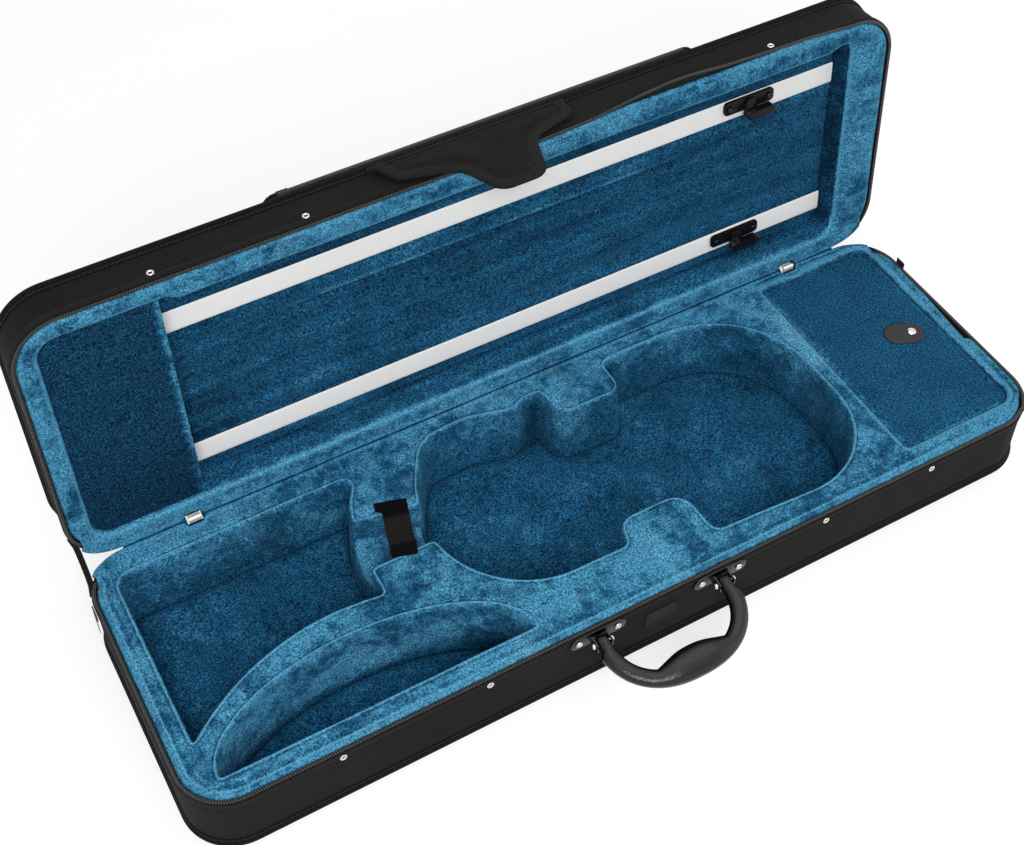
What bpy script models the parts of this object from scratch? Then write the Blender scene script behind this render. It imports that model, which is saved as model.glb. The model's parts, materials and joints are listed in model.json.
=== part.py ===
"""Soft oblong violin case in black fabric, standing open: base, lid, flap, handle and inner fittings.

Metres, +Z up. The origin is the centre of the flat underside, +X runs along the case to the accessory
compartment and +Y points to the hinge side. The lid's pieces are drawn closed and then turned open.
"""

import math

import bmesh
import bpy
from mathutils import Vector

# Overall sizes of the stiff shell
CASE_LENGTH = 0.783
CASE_WIDTH = 0.248
CORNER_RADIUS = 0.0415
BASE_HEIGHT = 0.067
LID_DEPTH = 0.0445
SHELL_WALL = 0.003
EDGE_ROUND = 0.006
RIM_GAP = 0.0016
LID_OPEN = math.radians(94.6)
CLEARANCE = 0.0003

# Edge trim of both shells
BINDING_HEIGHT = 0.0075
BINDING_PROUD = 0.0025
BINDING_FROM_FACE = 0.0032
SHELL_BELOW_RIM = 0.0028
TAPE_THICKNESS = 0.0008
TAPE_HEIGHT = 0.0042
TAIL_HEIGHT = 0.010
COIL_RADIUS = 0.0011

# Inside of the base
FLOOR_THICKNESS = 0.003
LINING_GAP = 0.0005
BED_TAPER = 0.004
LIP_RADIUS = 0.0025
NECK_CHANNEL_Y = 0.034
NECK_CHANNEL_WIDTH = 0.046
NECK_CHANNEL_DEPTH = 0.028
LEFT_RIM = 0.0225
REAR_RIM = 0.023
CRESCENT_LENGTH = 0.262
CRESCENT_DEPTH = 0.062
CRESCENT_FRONT_RIM = 0.024
DIVIDER_RADIUS = 0.206
DIVIDER_BELOW_FRONT = 0.118
DIVIDER_HALF_ANGLE = math.radians(48)
FOAM_EDGE = 0.0015
NECK_BLOCK_LEFT = -0.200
NECK_BLOCK_RIGHT = -0.120
CRADLE_INSET = 0.005
CRADLE_SAG = 0.004
STRAP_X = -0.1515
STRAP_WIDTH = 0.022
STRAP_THICKNESS = 0.0012
STRAP_SKEW = 0.011
STRAP_SAG = 0.0035
STRAP_OVERLAP = 0.010

# Accessory compartment at the right end
ACCESSORY_RIM = 0.0155
ACCESSORY_LENGTH = 0.115
ACCESSORY_FRONT_RIM = 0.023
ACCESSORY_REAR_RIM = 0.014
ACCESSORY_SINK = 0.002
ACCESSORY_PANEL = 0.003
ACCESSORY_LEDGE = 0.005
PULL_TAB_LENGTH = 0.037
PULL_TAB_WIDTH = 0.021
PULL_TAB_THICKNESS = 0.0015
PULL_TAB_TURN = math.radians(-21)
PULL_TAB_FROM_RIGHT = 0.034
PULL_TAB_Y = 0.005
PULL_TAB_RIVET = 0.0042

# Hinges at the back
HINGE_FROM_LEFT_END = 0.0995
HINGE_FROM_RIGHT_END = 0.0915
HINGE_WIDTH = 0.024
HINGE_LEAF = 0.015
LEAF_THICKNESS = 0.001
KNUCKLE_RADIUS = 0.0019
PIN_RADIUS = 0.0008
SPINE_HEIGHT = 0.021
SPINE_FROM_AXIS = 0.001
SPINE_FROM_CORNER = 0.005
SPINE_THICKNESS = 0.0008
REAR_LIP_ROOT = 0.004
REAR_LIP_EDGE = 0.0008

# Inside of the lid
TRAY_LEFT_RIM = 0.0205
TRAY_RIGHT_RIM = 0.0385
TRAY_FRONT_RIM = 0.019
TRAY_REAR_RIM = 0.018
TRAY_CORNER = 0.017
TRAY_DEPTH = 0.024
TRAY_TAPER = 0.005
SLOPE_LENGTH = 0.018
SLOPE_DEPTH = 0.007
SCOOP_DEPTH = 0.005
SCOOP_FRONT = -0.031
SCOOP_REAR = 0.040
SCOOP_ENDS = (-0.247, 0.219)
SCOOP_DEEP = (-0.150, 0.120)
SCOOP_REAR_ENDS = (-0.200, 0.180)
RAIL_WIDTH = 0.0205
RAIL_THICKNESS = 0.0012
UPPER_RAIL_Y = -0.0625
LOWER_RAIL_Y = 0.080
POCKET_LENGTH = 0.094
POCKET_SINK = 0.004
POCKET_THICKNESS = 0.0035

# Bow holders
HOLDER_LENGTH = 0.051
HOLDER_WIDTH = 0.013
HOLDER_THICKNESS = 0.0025
HOLDER_SCREW_SPREAD = 0.0405
HOLDER_SCREW_RADIUS = 0.0026
HOLDER_SCREW_HEIGHT = 0.0023
HUB_RADIUS = 0.0055
HUB_TOP_RADIUS = 0.0040
UPPER_HOLDER_X = 0.2575
LOWER_HOLDER_X = 0.251
UPPER_HOLDER_FROM_RAIL = -0.0035
LOWER_HOLDER_FROM_RAIL = -0.002
TURN_ARM_WIDTH = 0.009
TURN_ARM_BEHIND = 0.003
TURN_BAR_BEHIND = 0.0015
TURN_BAR_LENGTH = 0.027
TURN_BAR_WIDTH = 0.008
TURN_BAR_HEIGHT = 0.0075
TURN_BAR_REACH = 0.0115
TURN_BAR_LIFT = 0.0019

# Outside of the lid
MUSIC_POCKET_LENGTH = 0.396
MUSIC_POCKET_FRONT_RIM = 0.006
MUSIC_POCKET_REAR_RIM = 0.031
MUSIC_POCKET_X = 0.024
MUSIC_POCKET_DEPTH = 0.012
MUSIC_POCKET_EDGE = 0.003
MUSIC_POCKET_CORNER = 0.012
POCKET_ZIP_HEIGHT = 0.0075
POCKET_ZIP_THICKNESS = 0.0012
POCKET_SLIDER_START = 0.018
POCKET_SLIDER_LENGTH = 0.010
POCKET_SLIDER_WIDTH = 0.0065
POCKET_SLIDER_HEIGHT = 0.0028
POCKET_PULL_LENGTH = 0.017
POCKET_PULL_WIDTH = 0.0045
POCKET_PULL_THICKNESS = 0.0012
FLAP_THICKNESS = 0.0022
FLAP_EDGE = 0.0006
FLAP_ROOT_BELOW_FACE = 0.0152
FLAP_STRIP = 0.0034
FLAP_ROOT_ENDS = (-0.0905, 0.0780)
FLAP_SHOULDERS = ((-0.0800, 0.0050), (0.0783, 0.0083))
FLAP_SHOULDER_RADIUS = 0.008
FLAP_HOLLOWS = ((-0.0334, -0.0100), (0.0359, -0.0030))
FLAP_HOLLOW_RADIUS = 0.020
FLAP_TONGUE_ENDS = (-0.0195, 0.0220)
FLAP_TONGUE = 0.0486
FLAP_TONGUE_RADIUS = 0.016
FLAP_BINDING = 0.003

# Rivets, handle and zip sliders
RIVET_RADIUS = 0.0031
RIVET_HEIGHT = 0.0012
BASE_RIVETS_X = (-0.2765, -0.154, 0.1598, 0.2698)
LID_RIVETS_X = (-0.2768, -0.1544, 0.268)
BASE_RIVET_DROP = 0.0078
LID_RIVET_RISE = 0.0098
HANDLE_X = -0.0028
BRACKET_BELOW_RIM = 0.0080
AXIS_BELOW_BRACKET = 0.0018
HANDLE_STAND_OFF = 0.0090
HANDLE_DROOP = math.radians(10)
BRACKET_SPREAD = 0.0568
BRACKET_LENGTH = 0.050
BRACKET_WIDTH = 0.013
BRACKET_PLATE = 0.0012
BRACKET_RIVET_SPREAD = 0.035
BRACKET_RIVET_RADIUS = 0.0031
BRACKET_RIVET_HEIGHT = 0.0014
EAR_THICKNESS = 0.0014
EAR_HALF = 0.0042
PIN_WIRE = 0.0014
PIN_HEAD = 0.0027
PIN_HEAD_HEIGHT = 0.0024
GRIP_HALF_SPAN = 0.0658
GRIP_REACH = 0.0587
GRIP_SQUARENESS = 2.32
GRIP_PALM_HALF = 0.031
GRIP_ARM_WIDTH = 0.0142
GRIP_PALM_WIDTH = 0.026
GRIP_ARM_HEIGHT = 0.012
GRIP_PALM_HEIGHT = 0.019
GRIP_END_WIDTH = 0.011
GRIP_END_RADIUS = 0.0058
GRIP_WAIST_REACH = 0.0125
SLIDER_LENGTH = 0.010
SLIDER_HEIGHT = 0.009
SLIDER_THICKNESS = 0.003
SLIDER_FROM_REAR = 0.048
SLIDER_PULL_LENGTH = 0.023
SLIDER_PULL_WIDTH = 0.0052
SLIDER_PULL_THICKNESS = 0.001

# Places worked out from the sizes above
HALF_LENGTH = CASE_LENGTH / 2
HALF_WIDTH = CASE_WIDTH / 2
FOAM_INSET = SHELL_WALL + LINING_GAP
FLOOR_BOTTOM = SHELL_WALL + CLEARANCE
FOAM_BOTTOM = FLOOR_BOTTOM + FLOOR_THICKNESS + CLEARANCE
LID_RIM = BASE_HEIGHT + RIM_GAP
HINGE_LEFT_X = -HALF_LENGTH + HINGE_FROM_LEFT_END
HINGE_RIGHT_X = HALF_LENGTH - HINGE_FROM_RIGHT_END
SPINE_END = HALF_LENGTH - CORNER_RADIUS - SPINE_FROM_CORNER
HINGE_Y = HALF_WIDTH + CLEARANCE + LEAF_THICKNESS / 2
HINGE_Z = BASE_HEIGHT + RIM_GAP / 2
ACCESSORY_RIGHT = HALF_LENGTH - ACCESSORY_RIM
ACCESSORY_LEFT = ACCESSORY_RIGHT - ACCESSORY_LENGTH
ACCESSORY_TOP = BASE_HEIGHT - ACCESSORY_SINK
TRAY_LEFT = -HALF_LENGTH + TRAY_LEFT_RIM
TRAY_RIGHT = HALF_LENGTH - TRAY_RIGHT_RIM
TRAY_FRONT = -HALF_WIDTH + TRAY_FRONT_RIM
TRAY_REAR = HALF_WIDTH - TRAY_REAR_RIM
TAPE_OUTSIDE = CLEARANCE + TAPE_THICKNESS
LID_FACE = LID_RIM + LID_DEPTH
FLAP_ROOT = LID_DEPTH - FLAP_ROOT_BELOW_FACE
BRACKET_Z = BASE_HEIGHT - BRACKET_BELOW_RIM
BRACKET_BACK = HALF_WIDTH + TAPE_OUTSIDE + CLEARANCE
BRACKET_FACE = BRACKET_BACK + BRACKET_PLATE
HANDLE_Z = BRACKET_Z - AXIS_BELOW_BRACKET
HANDLE_Y = -HALF_WIDTH - HANDLE_STAND_OFF
EAR_INSIDE = GRIP_END_WIDTH / 2 + CLEARANCE
FLAP_Y = -BRACKET_FACE - BRACKET_RIVET_HEIGHT - 4 * CLEARANCE

# Finishes: colour, roughness, metallic
BLACK_FABRIC = ((0.020, 0.020, 0.021), 0.90, 0.0)
BLACK_RIBBON = ((0.014, 0.014, 0.015), 0.80, 0.0)
BLUE_PLUSH = ((0.045, 0.225, 0.390), 0.95, 0.0)
DEEP_BLUE_PLUSH = ((0.008, 0.075, 0.160), 0.95, 0.0)
PALE_RIBBON = ((0.640, 0.625, 0.610), 0.70, 0.0)
BLACK_PLASTIC = ((0.012, 0.012, 0.013), 0.35, 0.0)
BLACK_GRIP = ((0.015, 0.015, 0.016), 0.50, 0.0)
NICKEL = ((0.700, 0.690, 0.670), 0.25, 1.0)
BLACK_HOOK_TAPE = ((0.016, 0.015, 0.014), 0.95, 0.0)


def clear_scene():
    """Removes whatever the file holds, so that the case stands alone."""
    for obj in list(bpy.data.objects):
        bpy.data.objects.remove(obj, do_unlink=True)


class Body:
    """A rigid group of pieces: an empty on its joint's axis, drawn with the case closed."""

    def __init__(self, name, pivot, parent=None, turn_x=0.0):
        self.pivot = Vector(pivot)
        self.empty = bpy.data.objects.new(name, None)
        bpy.context.scene.collection.objects.link(self.empty)
        self.empty.location = self.pivot
        if parent:
            self.empty.parent = parent.empty
            self.empty.location = self.pivot - parent.pivot
        self.empty.rotation_euler.x = turn_x


def corner_arc(before, corner, after, radius, step):
    """Points of the arc that rounds one corner of an outline."""
    here = Vector(corner)
    back = (Vector(before) - here).normalized()
    ahead = (Vector(after) - here).normalized()
    turn = math.pi - back.angle(ahead)
    if radius <= 0 or turn < 0.02:
        return [here]
    start = here + back * radius * math.tan(turn / 2)
    centre = here + (back + ahead).normalized() * radius / math.cos(turn / 2)
    arm = start - centre
    side = 1 if back.x * ahead.y - back.y * ahead.x < 0 else -1
    count = max(2, math.ceil(turn / step))
    points = []
    for i in range(count + 1):
        angle = side * turn * i / count
        x = arm.x * math.cos(angle) - arm.y * math.sin(angle)
        y = arm.x * math.sin(angle) + arm.y * math.cos(angle)
        points.append(centre + Vector((x, y)))
    return points


def rounded(corners, step=math.radians(15)):
    """Closed outline, anticlockwise, through corners (x, y, radius)."""
    outline = []
    for i, (x, y, radius) in enumerate(corners):
        before = corners[i - 1][:2]
        after = corners[(i + 1) % len(corners)][:2]
        outline.extend(corner_arc(before, (x, y), after, radius, step))
    return outline


def mitres(points, closed):
    """For each point, the vector that moves it outward by one unit of distance."""
    normals = []
    count = len(points)
    for i in range(count if closed else count - 1):
        run = (points[(i + 1) % count] - points[i]).normalized()
        normals.append(Vector((run.y, -run.x)))
    found = []
    for i in range(count):
        before = normals[i - 1] if closed or i > 0 else normals[0]
        after = normals[i] if i < len(normals) else normals[-1]
        found.append((before + after) / (1 + before.dot(after)))
    return found


def upright(x, y, z):
    """Outline in plan, levels along Z."""
    return (x, y, z)


def on_front(x, z, out):
    """Outline in the plane of the front wall, levels outward from it."""
    return (x, -out, z)


def skin(rings, loop=False):
    """Solid between matching rings of points: (vertices, faces), capped unless the rings loop."""
    size = len(rings[0])
    vertices = [tuple(point) for ring in rings for point in ring]
    faces = []
    for r in range(len(rings) if loop else len(rings) - 1):
        low = r * size
        high = (r + 1) % len(rings) * size
        for i in range(size):
            j = (i + 1) % size
            faces.append((low + i, low + j, high + j, high + i))
    if not loop:
        faces.append(tuple(range(size)))
        faces.append(tuple(range(len(vertices) - size, len(vertices))))
    return vertices, faces


def loft(outline, levels, place=upright):
    """Solid that keeps the outline's shape through levels (outward offset, height)."""
    reach = mitres(outline, closed=True)
    rings = []
    for offset, height in levels:
        ring = []
        for point, normal in zip(outline, reach):
            moved = point + normal * offset
            ring.append(place(moved.x, moved.y, height))
        rings.append(ring)
    return skin(rings)


def plate(outline, bottom, top, edge=0.0, place=upright):
    """Flat plate with its upper edge eased by edge."""
    levels = [(0, bottom), (0, top)]
    if edge > 0:
        levels = [(0, bottom), (0, top - edge), (-edge * 0.3, top - edge * 0.3), (-edge, top)]
    return loft(outline, levels, place)


def box(low, high):
    """Box between two opposite corners."""
    corners = [(low[0], low[1], 0), (high[0], low[1], 0), (high[0], high[1], 0), (low[0], high[1], 0)]
    return plate(rounded(corners), low[2], high[2])


def sweep(path, section, closed, place=upright):
    """Section of points (outward offset, height) carried along a path."""
    rings = []
    for point, normal in zip(path, mitres(path, closed)):
        ring = []
        for offset, height in section:
            moved = point + normal * offset
            ring.append(place(moved.x, moved.y, height))
        rings.append(ring)
    return skin(rings, loop=closed)


def turned(centre, direction, profile, sides=16):
    """Solid of revolution: profile points (radius, distance along direction) from centre."""
    axis = Vector(direction).normalized()
    across = axis.orthogonal().normalized()
    up = axis.cross(across)
    rings = []
    for radius, distance in profile:
        ring = []
        for i in range(sides):
            angle = 2 * math.pi * i / sides
            spoke = across * math.cos(angle) + up * math.sin(angle)
            ring.append(Vector(centre) + axis * distance + spoke * radius)
        rings.append(ring)
    return skin(rings)


def rod(start, end, radius, sides=16):
    """Round bar between two points."""
    run = Vector(end) - Vector(start)
    return turned(start, run, [(radius, 0), (radius, run.length)], sides)


def dome(centre, direction, radius, height, sides=12):
    """Low rounded head of a rivet or screw."""
    rise = [(radius, 0), (radius, height * 0.3), (radius * 0.8, height * 0.75), (radius * 0.35, height)]
    return turned(centre, direction, rise, sides)


def principled(name, finish):
    """Material of one piece."""
    colour, roughness, metallic = finish
    material = bpy.data.materials.new(name)
    material.use_nodes = True
    shader = material.node_tree.nodes["Principled BSDF"]
    shader.inputs["Base Color"].default_value = (*colour, 1.0)
    shader.inputs["Roughness"].default_value = roughness
    shader.inputs["Metallic"].default_value = metallic
    material.diffuse_color = (*colour, 1.0)
    return material


def piece(name, body, finish, solids):
    """One named object of one or more separate solids, hung from its body's empty."""
    mesh = bpy.data.meshes.new(name)
    work = bmesh.new()
    for vertices, faces in solids:
        made = [work.verts.new(Vector(point) - body.pivot) for point in vertices]
        for face in faces:
            work.faces.new([made[i] for i in face])
    bmesh.ops.recalc_face_normals(work, faces=work.faces)
    work.to_mesh(mesh)
    work.free()
    obj = bpy.data.objects.new(name, mesh)
    bpy.context.scene.collection.objects.link(obj)
    obj.parent = body.empty
    obj.data.materials.append(principled(name, finish))
    mesh.shade_smooth()
    mesh.set_sharp_from_angle(angle=math.radians(35))
    return obj


def shape(target, operation, name, body, solids):
    """Cuts or joins a hidden tool into a piece, with a Boolean modifier, and returns the tool."""
    tool = piece(name, body, BLACK_PLASTIC, solids)
    tool.hide_render = True
    tool.display_type = "WIRE"
    modifier = target.modifiers.new(name, "BOOLEAN")
    modifier.operation = operation
    modifier.solver = "EXACT"
    modifier.object = tool
    return tool


def shell_corners(inset=0.0):
    """Plan corners of the shell, from the rear left anticlockwise."""
    x = HALF_LENGTH - inset
    y = HALF_WIDTH - inset
    radius = CORNER_RADIUS - inset
    return [(-x, y, radius), (-x, -y, radius), (x, -y, radius), (x, y, radius)]


def shell_outline(inset=0.0):
    """Plan outline of the shell, moved inward by inset."""
    return rounded(shell_corners(inset), math.radians(11.25))


def edge_levels(face, rim, inner):
    """Levels of a shell from its outer face over the rim to the inside of that face."""
    away = 1 if rim > face else -1
    levels = []
    for i in range(5):
        angle = math.radians(90) * i / 4
        inward = EDGE_ROUND * (1 - math.sin(angle))
        rise = EDGE_ROUND * (1 - math.cos(angle))
        levels.append((-inward, face + away * rise))
    levels.append((0, rim))
    levels.append((-SHELL_WALL, rim))
    levels.append((-SHELL_WALL, inner))
    return levels


def binding_section(face, away):
    """Rounded ribbon bead on the wall beside an outer edge."""
    section = []
    for i in range(7):
        angle = math.pi * i / 6
        out = CLEARANCE + (BINDING_PROUD - CLEARANCE) * math.sin(angle) ** 0.6
        along = BINDING_FROM_FACE + BINDING_HEIGHT * (1 - math.cos(angle)) / 2
        section.append((out, face + away * along))
    return section


def tape_section(rim, away):
    """Zip tape: a strip on the wall that folds over the shell's edge to the coil at the rim."""
    section = [(CLEARANCE, rim + away * TAPE_HEIGHT), (TAPE_OUTSIDE, rim + away * TAPE_HEIGHT)]
    section.append((TAPE_OUTSIDE, rim + away * SHELL_BELOW_RIM * 0.8))
    coil_in = -SHELL_WALL / 2
    coil_drop = COIL_RADIUS / 2
    for i in range(7):
        angle = math.radians(-20) + math.radians(220) * i / 6
        out = coil_in + COIL_RADIUS * math.cos(angle)
        section.append((out, rim + away * (coil_drop - COIL_RADIUS * math.sin(angle))))
    fold = SHELL_BELOW_RIM - CLEARANCE
    section.append((coil_in - COIL_RADIUS * 0.9, rim + away * fold))
    section.append((CLEARANCE, rim + away * fold))
    return section


def zip_path():
    """Run of the zip: from the rear left corner by the front to the rear right corner."""
    return shell_outline()[2:-2]


def lipped(outline, floor, rim, away, taper, below=0.002):
    """Cutter of a plush-lined hollow: walls that draw in with depth, and a rounded lip."""
    levels = [(-taper, floor - away * below)]
    for i in range(4):
        angle = math.radians(90) * i / 3
        out = LIP_RADIUS * (1 - math.cos(angle))
        down = LIP_RADIUS * (1 - math.sin(angle))
        levels.append((out, rim - away * down))
    levels.append((LIP_RADIUS, rim + away * 0.001))
    return loft(outline, levels)


def violin_bed_outline():
    """Bed of the violin: round upper bout at the left, waist bumps, wide lower bout."""
    corners = [
        (-0.131, -0.0675, 0.086),
        (0.002, -0.070, 0.005),
        (0.008, -0.046, 0.014),
        (0.070, -0.046, 0.018),
        (0.072, -0.092, 0.008),
        (0.245, -0.102, 0.075),
        (0.245, 0.108, 0.092),
        (0.086, 0.108, 0.006),
        (0.086, 0.072, 0.012),
        (0.022, 0.074, 0.014),
        (0.014, 0.1065, 0.005),
        (-0.131, 0.1065, 0.086),
    ]
    return rounded(corners, math.radians(12))


def left_compartment_outline():
    """Compartment at the left end, before the divider's curve is taken off it."""
    left = -HALF_LENGTH + LEFT_RIM
    rear = HALF_WIDTH - REAR_RIM
    front = -HALF_WIDTH + CRESCENT_FRONT_RIM + 0.034
    corners = [
        (left, front, 0.006),
        (-0.190, front, 0.006),
        (-0.189, 0.040, 0.030),
        (-0.176, 0.078, 0.020),
        (-0.161, rear, 0.006),
        (left, rear, 0.012),
    ]
    return rounded(corners)


def crescent_centre():
    """Middle of the crescent's straight front edge."""
    left_tip = -HALF_LENGTH + LEFT_RIM + 0.007
    return left_tip + CRESCENT_LENGTH / 2, -HALF_WIDTH + CRESCENT_FRONT_RIM


def crescent_outline():
    """Half ellipse with its straight edge along the front."""
    x, y = crescent_centre()
    points = []
    for i in range(25):
        angle = math.pi * i / 24
        point = (x + CRESCENT_LENGTH / 2 * math.cos(angle), y + CRESCENT_DEPTH * math.sin(angle))
        points.append(Vector(point))
    return points


def accessory_outline(inset=0.0):
    """Plan of the accessory compartment's lid, moved inward by inset."""
    left = ACCESSORY_LEFT + inset
    right = ACCESSORY_RIGHT - inset
    front = -HALF_WIDTH + ACCESSORY_FRONT_RIM + inset
    rear = HALF_WIDTH - ACCESSORY_REAR_RIM - inset
    corners = [
        (left, front, 0.003),
        (right, front, 0.012),
        (right, rear, 0.020),
        (left, rear, 0.003),
    ]
    return rounded(corners)


def bed_cutter():
    """Hollow of the violin bed."""
    return lipped(violin_bed_outline(), FOAM_BOTTOM, BASE_HEIGHT, 1, BED_TAPER)


def left_cutter():
    """Hollow of the left compartment."""
    return lipped(left_compartment_outline(), FOAM_BOTTOM, BASE_HEIGHT, 1, BED_TAPER)


def divider_block():
    """Round-backed lobe that stands between the left compartment and the crescent."""
    x, y = crescent_centre()
    below = y - DIVIDER_BELOW_FRONT
    steps = 48
    ring = []
    for i in range(steps + 1):
        angle = math.radians(90) + DIVIDER_HALF_ANGLE * (2 * i / steps - 1)
        point = (x + DIVIDER_RADIUS * math.cos(angle), below + DIVIDER_RADIUS * math.sin(angle))
        ring.append(Vector(point))
    lip = [(BED_TAPER, FOAM_BOTTOM - 0.004), (0, BASE_HEIGHT - LIP_RADIUS)]
    lip.append((-LIP_RADIUS, BASE_HEIGHT + 0.0001))
    lip.append((-LIP_RADIUS, BASE_HEIGHT + 0.004))
    return loft(ring, lip)


def base_shell(body):
    """Stiff tray of the base under its fabric."""
    rim = BASE_HEIGHT - SHELL_BELOW_RIM
    levels = edge_levels(0.0, rim, SHELL_WALL)
    piece("base_shell", body, BLACK_FABRIC, [loft(shell_outline(), levels)])
    section = binding_section(0.0, 1)
    piece("base_binding", body, BLACK_RIBBON, [sweep(shell_outline(), section, closed=True)])
    section = tape_section(BASE_HEIGHT, -1)
    piece("base_zip_tape", body, BLACK_RIBBON, [sweep(zip_path(), section, closed=False)])


def zip_tails(body):
    """Loose ends of the zip tape, folded round the two rear corners."""
    outline = shell_outline()
    inner_end = SPINE_END + 2 * CLEARANCE
    runs = {"zip_tail_left": [Vector((-inner_end, HALF_WIDTH))] + outline[:2]}
    runs["zip_tail_right"] = outline[-2:] + [Vector((inner_end, HALF_WIDTH))]
    low = BASE_HEIGHT - TAIL_HEIGHT
    high = BASE_HEIGHT - SHELL_BELOW_RIM
    section = [(CLEARANCE, low), (TAPE_OUTSIDE, low), (TAPE_OUTSIDE, high), (CLEARANCE, high)]
    for name, path in runs.items():
        piece(name, body, BLACK_RIBBON, [sweep(path, section, closed=False)])


def rear_lips(foam, body, rim, away):
    """Plush carried back over the shell's edge behind, in the spans beside the hinges."""
    rear = HALF_WIDTH - CLEARANCE
    root = HALF_WIDTH - FOAM_INSET - REAR_LIP_ROOT
    notch = HINGE_WIDTH / 2 + LINING_GAP
    levels = [(-REAR_LIP_EDGE, rim), (-REAR_LIP_EDGE / 3, rim + away * REAR_LIP_EDGE / 3)]
    levels.append((0, rim + away * REAR_LIP_EDGE))
    levels.append((0, rim + away * (SHELL_BELOW_RIM - CLEARANCE)))
    spans = [(-SPINE_END, HINGE_LEFT_X - notch), (HINGE_LEFT_X + notch, HINGE_RIGHT_X - notch)]
    spans.append((HINGE_RIGHT_X + notch, SPINE_END))
    lips = []
    for start, end in spans:
        corners = [(start, root, 0), (end, root, 0), (end, rear, 0), (start, rear, 0)]
        lips.append(loft(rounded(corners), levels))
    shape(foam, "UNION", f"{foam.name}_rear_lips", body, lips)


def base_foam(body):
    """Plush-lined foam of the base with its hollows, and the panel under it."""
    outline = shell_outline(FOAM_INSET)
    panel = plate(outline, FLOOR_BOTTOM, FLOOR_BOTTOM + FLOOR_THICKNESS)
    piece("base_floor_panel", body, DEEP_BLUE_PLUSH, [panel])
    levels = [(0, FOAM_BOTTOM), (0, BASE_HEIGHT - FOAM_EDGE)]
    levels.append((-FOAM_EDGE / 3, BASE_HEIGHT - FOAM_EDGE / 3))
    levels.append((-FOAM_EDGE, BASE_HEIGHT))
    foam = piece("base_foam_insert", body, BLUE_PLUSH, [loft(outline, levels)])
    rear_lips(foam, body, BASE_HEIGHT, -1)
    shape(foam, "DIFFERENCE", "cutter_violin_bed", body, [bed_cutter()])
    left = shape(foam, "DIFFERENCE", "cutter_left_compartment", body, [left_cutter()])
    shape(left, "DIFFERENCE", "divider_lobe", body, [divider_block()])
    crescent = lipped(crescent_outline(), FOAM_BOTTOM, BASE_HEIGHT, 1, BED_TAPER)
    shape(foam, "DIFFERENCE", "cutter_crescent", body, [crescent])
    shape(foam, "DIFFERENCE", "cutter_neck_channel", body, [neck_channel(0.0, FOAM_BOTTOM - 0.002)])
    ledge_top = ACCESSORY_TOP - ACCESSORY_PANEL - CLEARANCE
    rebate = plate(accessory_outline(-LINING_GAP), ledge_top, BASE_HEIGHT + 0.002)
    shape(foam, "DIFFERENCE", "cutter_accessory_rebate", body, [rebate])
    well = plate(accessory_outline(ACCESSORY_LEDGE), FOAM_BOTTOM - 0.002, BASE_HEIGHT)
    shape(foam, "DIFFERENCE", "cutter_accessory_well", body, [well])


def neck_channel(inset, bottom):
    """Channel for the violin's neck, across the block left of the bed."""
    half = NECK_CHANNEL_WIDTH / 2 - inset
    low = NECK_CHANNEL_Y - half
    high = NECK_CHANNEL_Y + half
    return box((NECK_BLOCK_LEFT, low, bottom), (NECK_BLOCK_RIGHT, high, BASE_HEIGHT + 0.002))


def neck_cradle(body):
    """Saddle at the bottom of the neck channel, hollowed across its top."""
    half = NECK_CHANNEL_WIDTH / 2 - CLEARANCE
    top = BASE_HEIGHT - NECK_CHANNEL_DEPTH
    profile = [(-half, FOAM_BOTTOM), (half, FOAM_BOTTOM), (half, top + CRADLE_SAG)]
    for i in range(9):
        across = half * (1 - 2 * (i + 0.5) / 9)
        profile.append((across, top + CRADLE_SAG * (across / half) ** 2))
    profile.append((-half, top + CRADLE_SAG))
    rings = []
    for x in (NECK_BLOCK_LEFT + CRADLE_INSET, NECK_BLOCK_RIGHT - CRADLE_INSET):
        rings.append([(x, NECK_CHANNEL_Y + y, z) for y, z in profile])
    saddle = piece("neck_cradle", body, BLUE_PLUSH, [skin(rings)])
    shape(saddle, "DIFFERENCE", "cutter_cradle_bed", body, [bed_cutter()])
    shape(saddle, "DIFFERENCE", "cutter_cradle_left", body, [left_cutter()])


def neck_strap(body):
    """Hook-and-loop strap across the neck channel, sagging a little between its ends."""
    half = STRAP_WIDTH / 2
    lift = BASE_HEIGHT + CLEARANCE
    reach = NECK_CHANNEL_WIDTH / 2 + STRAP_OVERLAP
    flat = NECK_CHANNEL_WIDTH / 2 - 0.001
    rings = []
    for i in range(13):
        along = reach * (1 - 2 * i / 12)
        x = STRAP_X + STRAP_SKEW * along / reach
        free = max(0.0, 1 - (along / flat) ** 2)
        z = lift - STRAP_SAG * free
        y = NECK_CHANNEL_Y + along
        low = [(x - half, y, z), (x + half, y, z)]
        high = [(x + half, y, z + STRAP_THICKNESS), (x - half, y, z + STRAP_THICKNESS)]
        rings.append(low + high)
    piece("neck_strap", body, BLACK_HOOK_TAPE, [skin(rings)])


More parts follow.
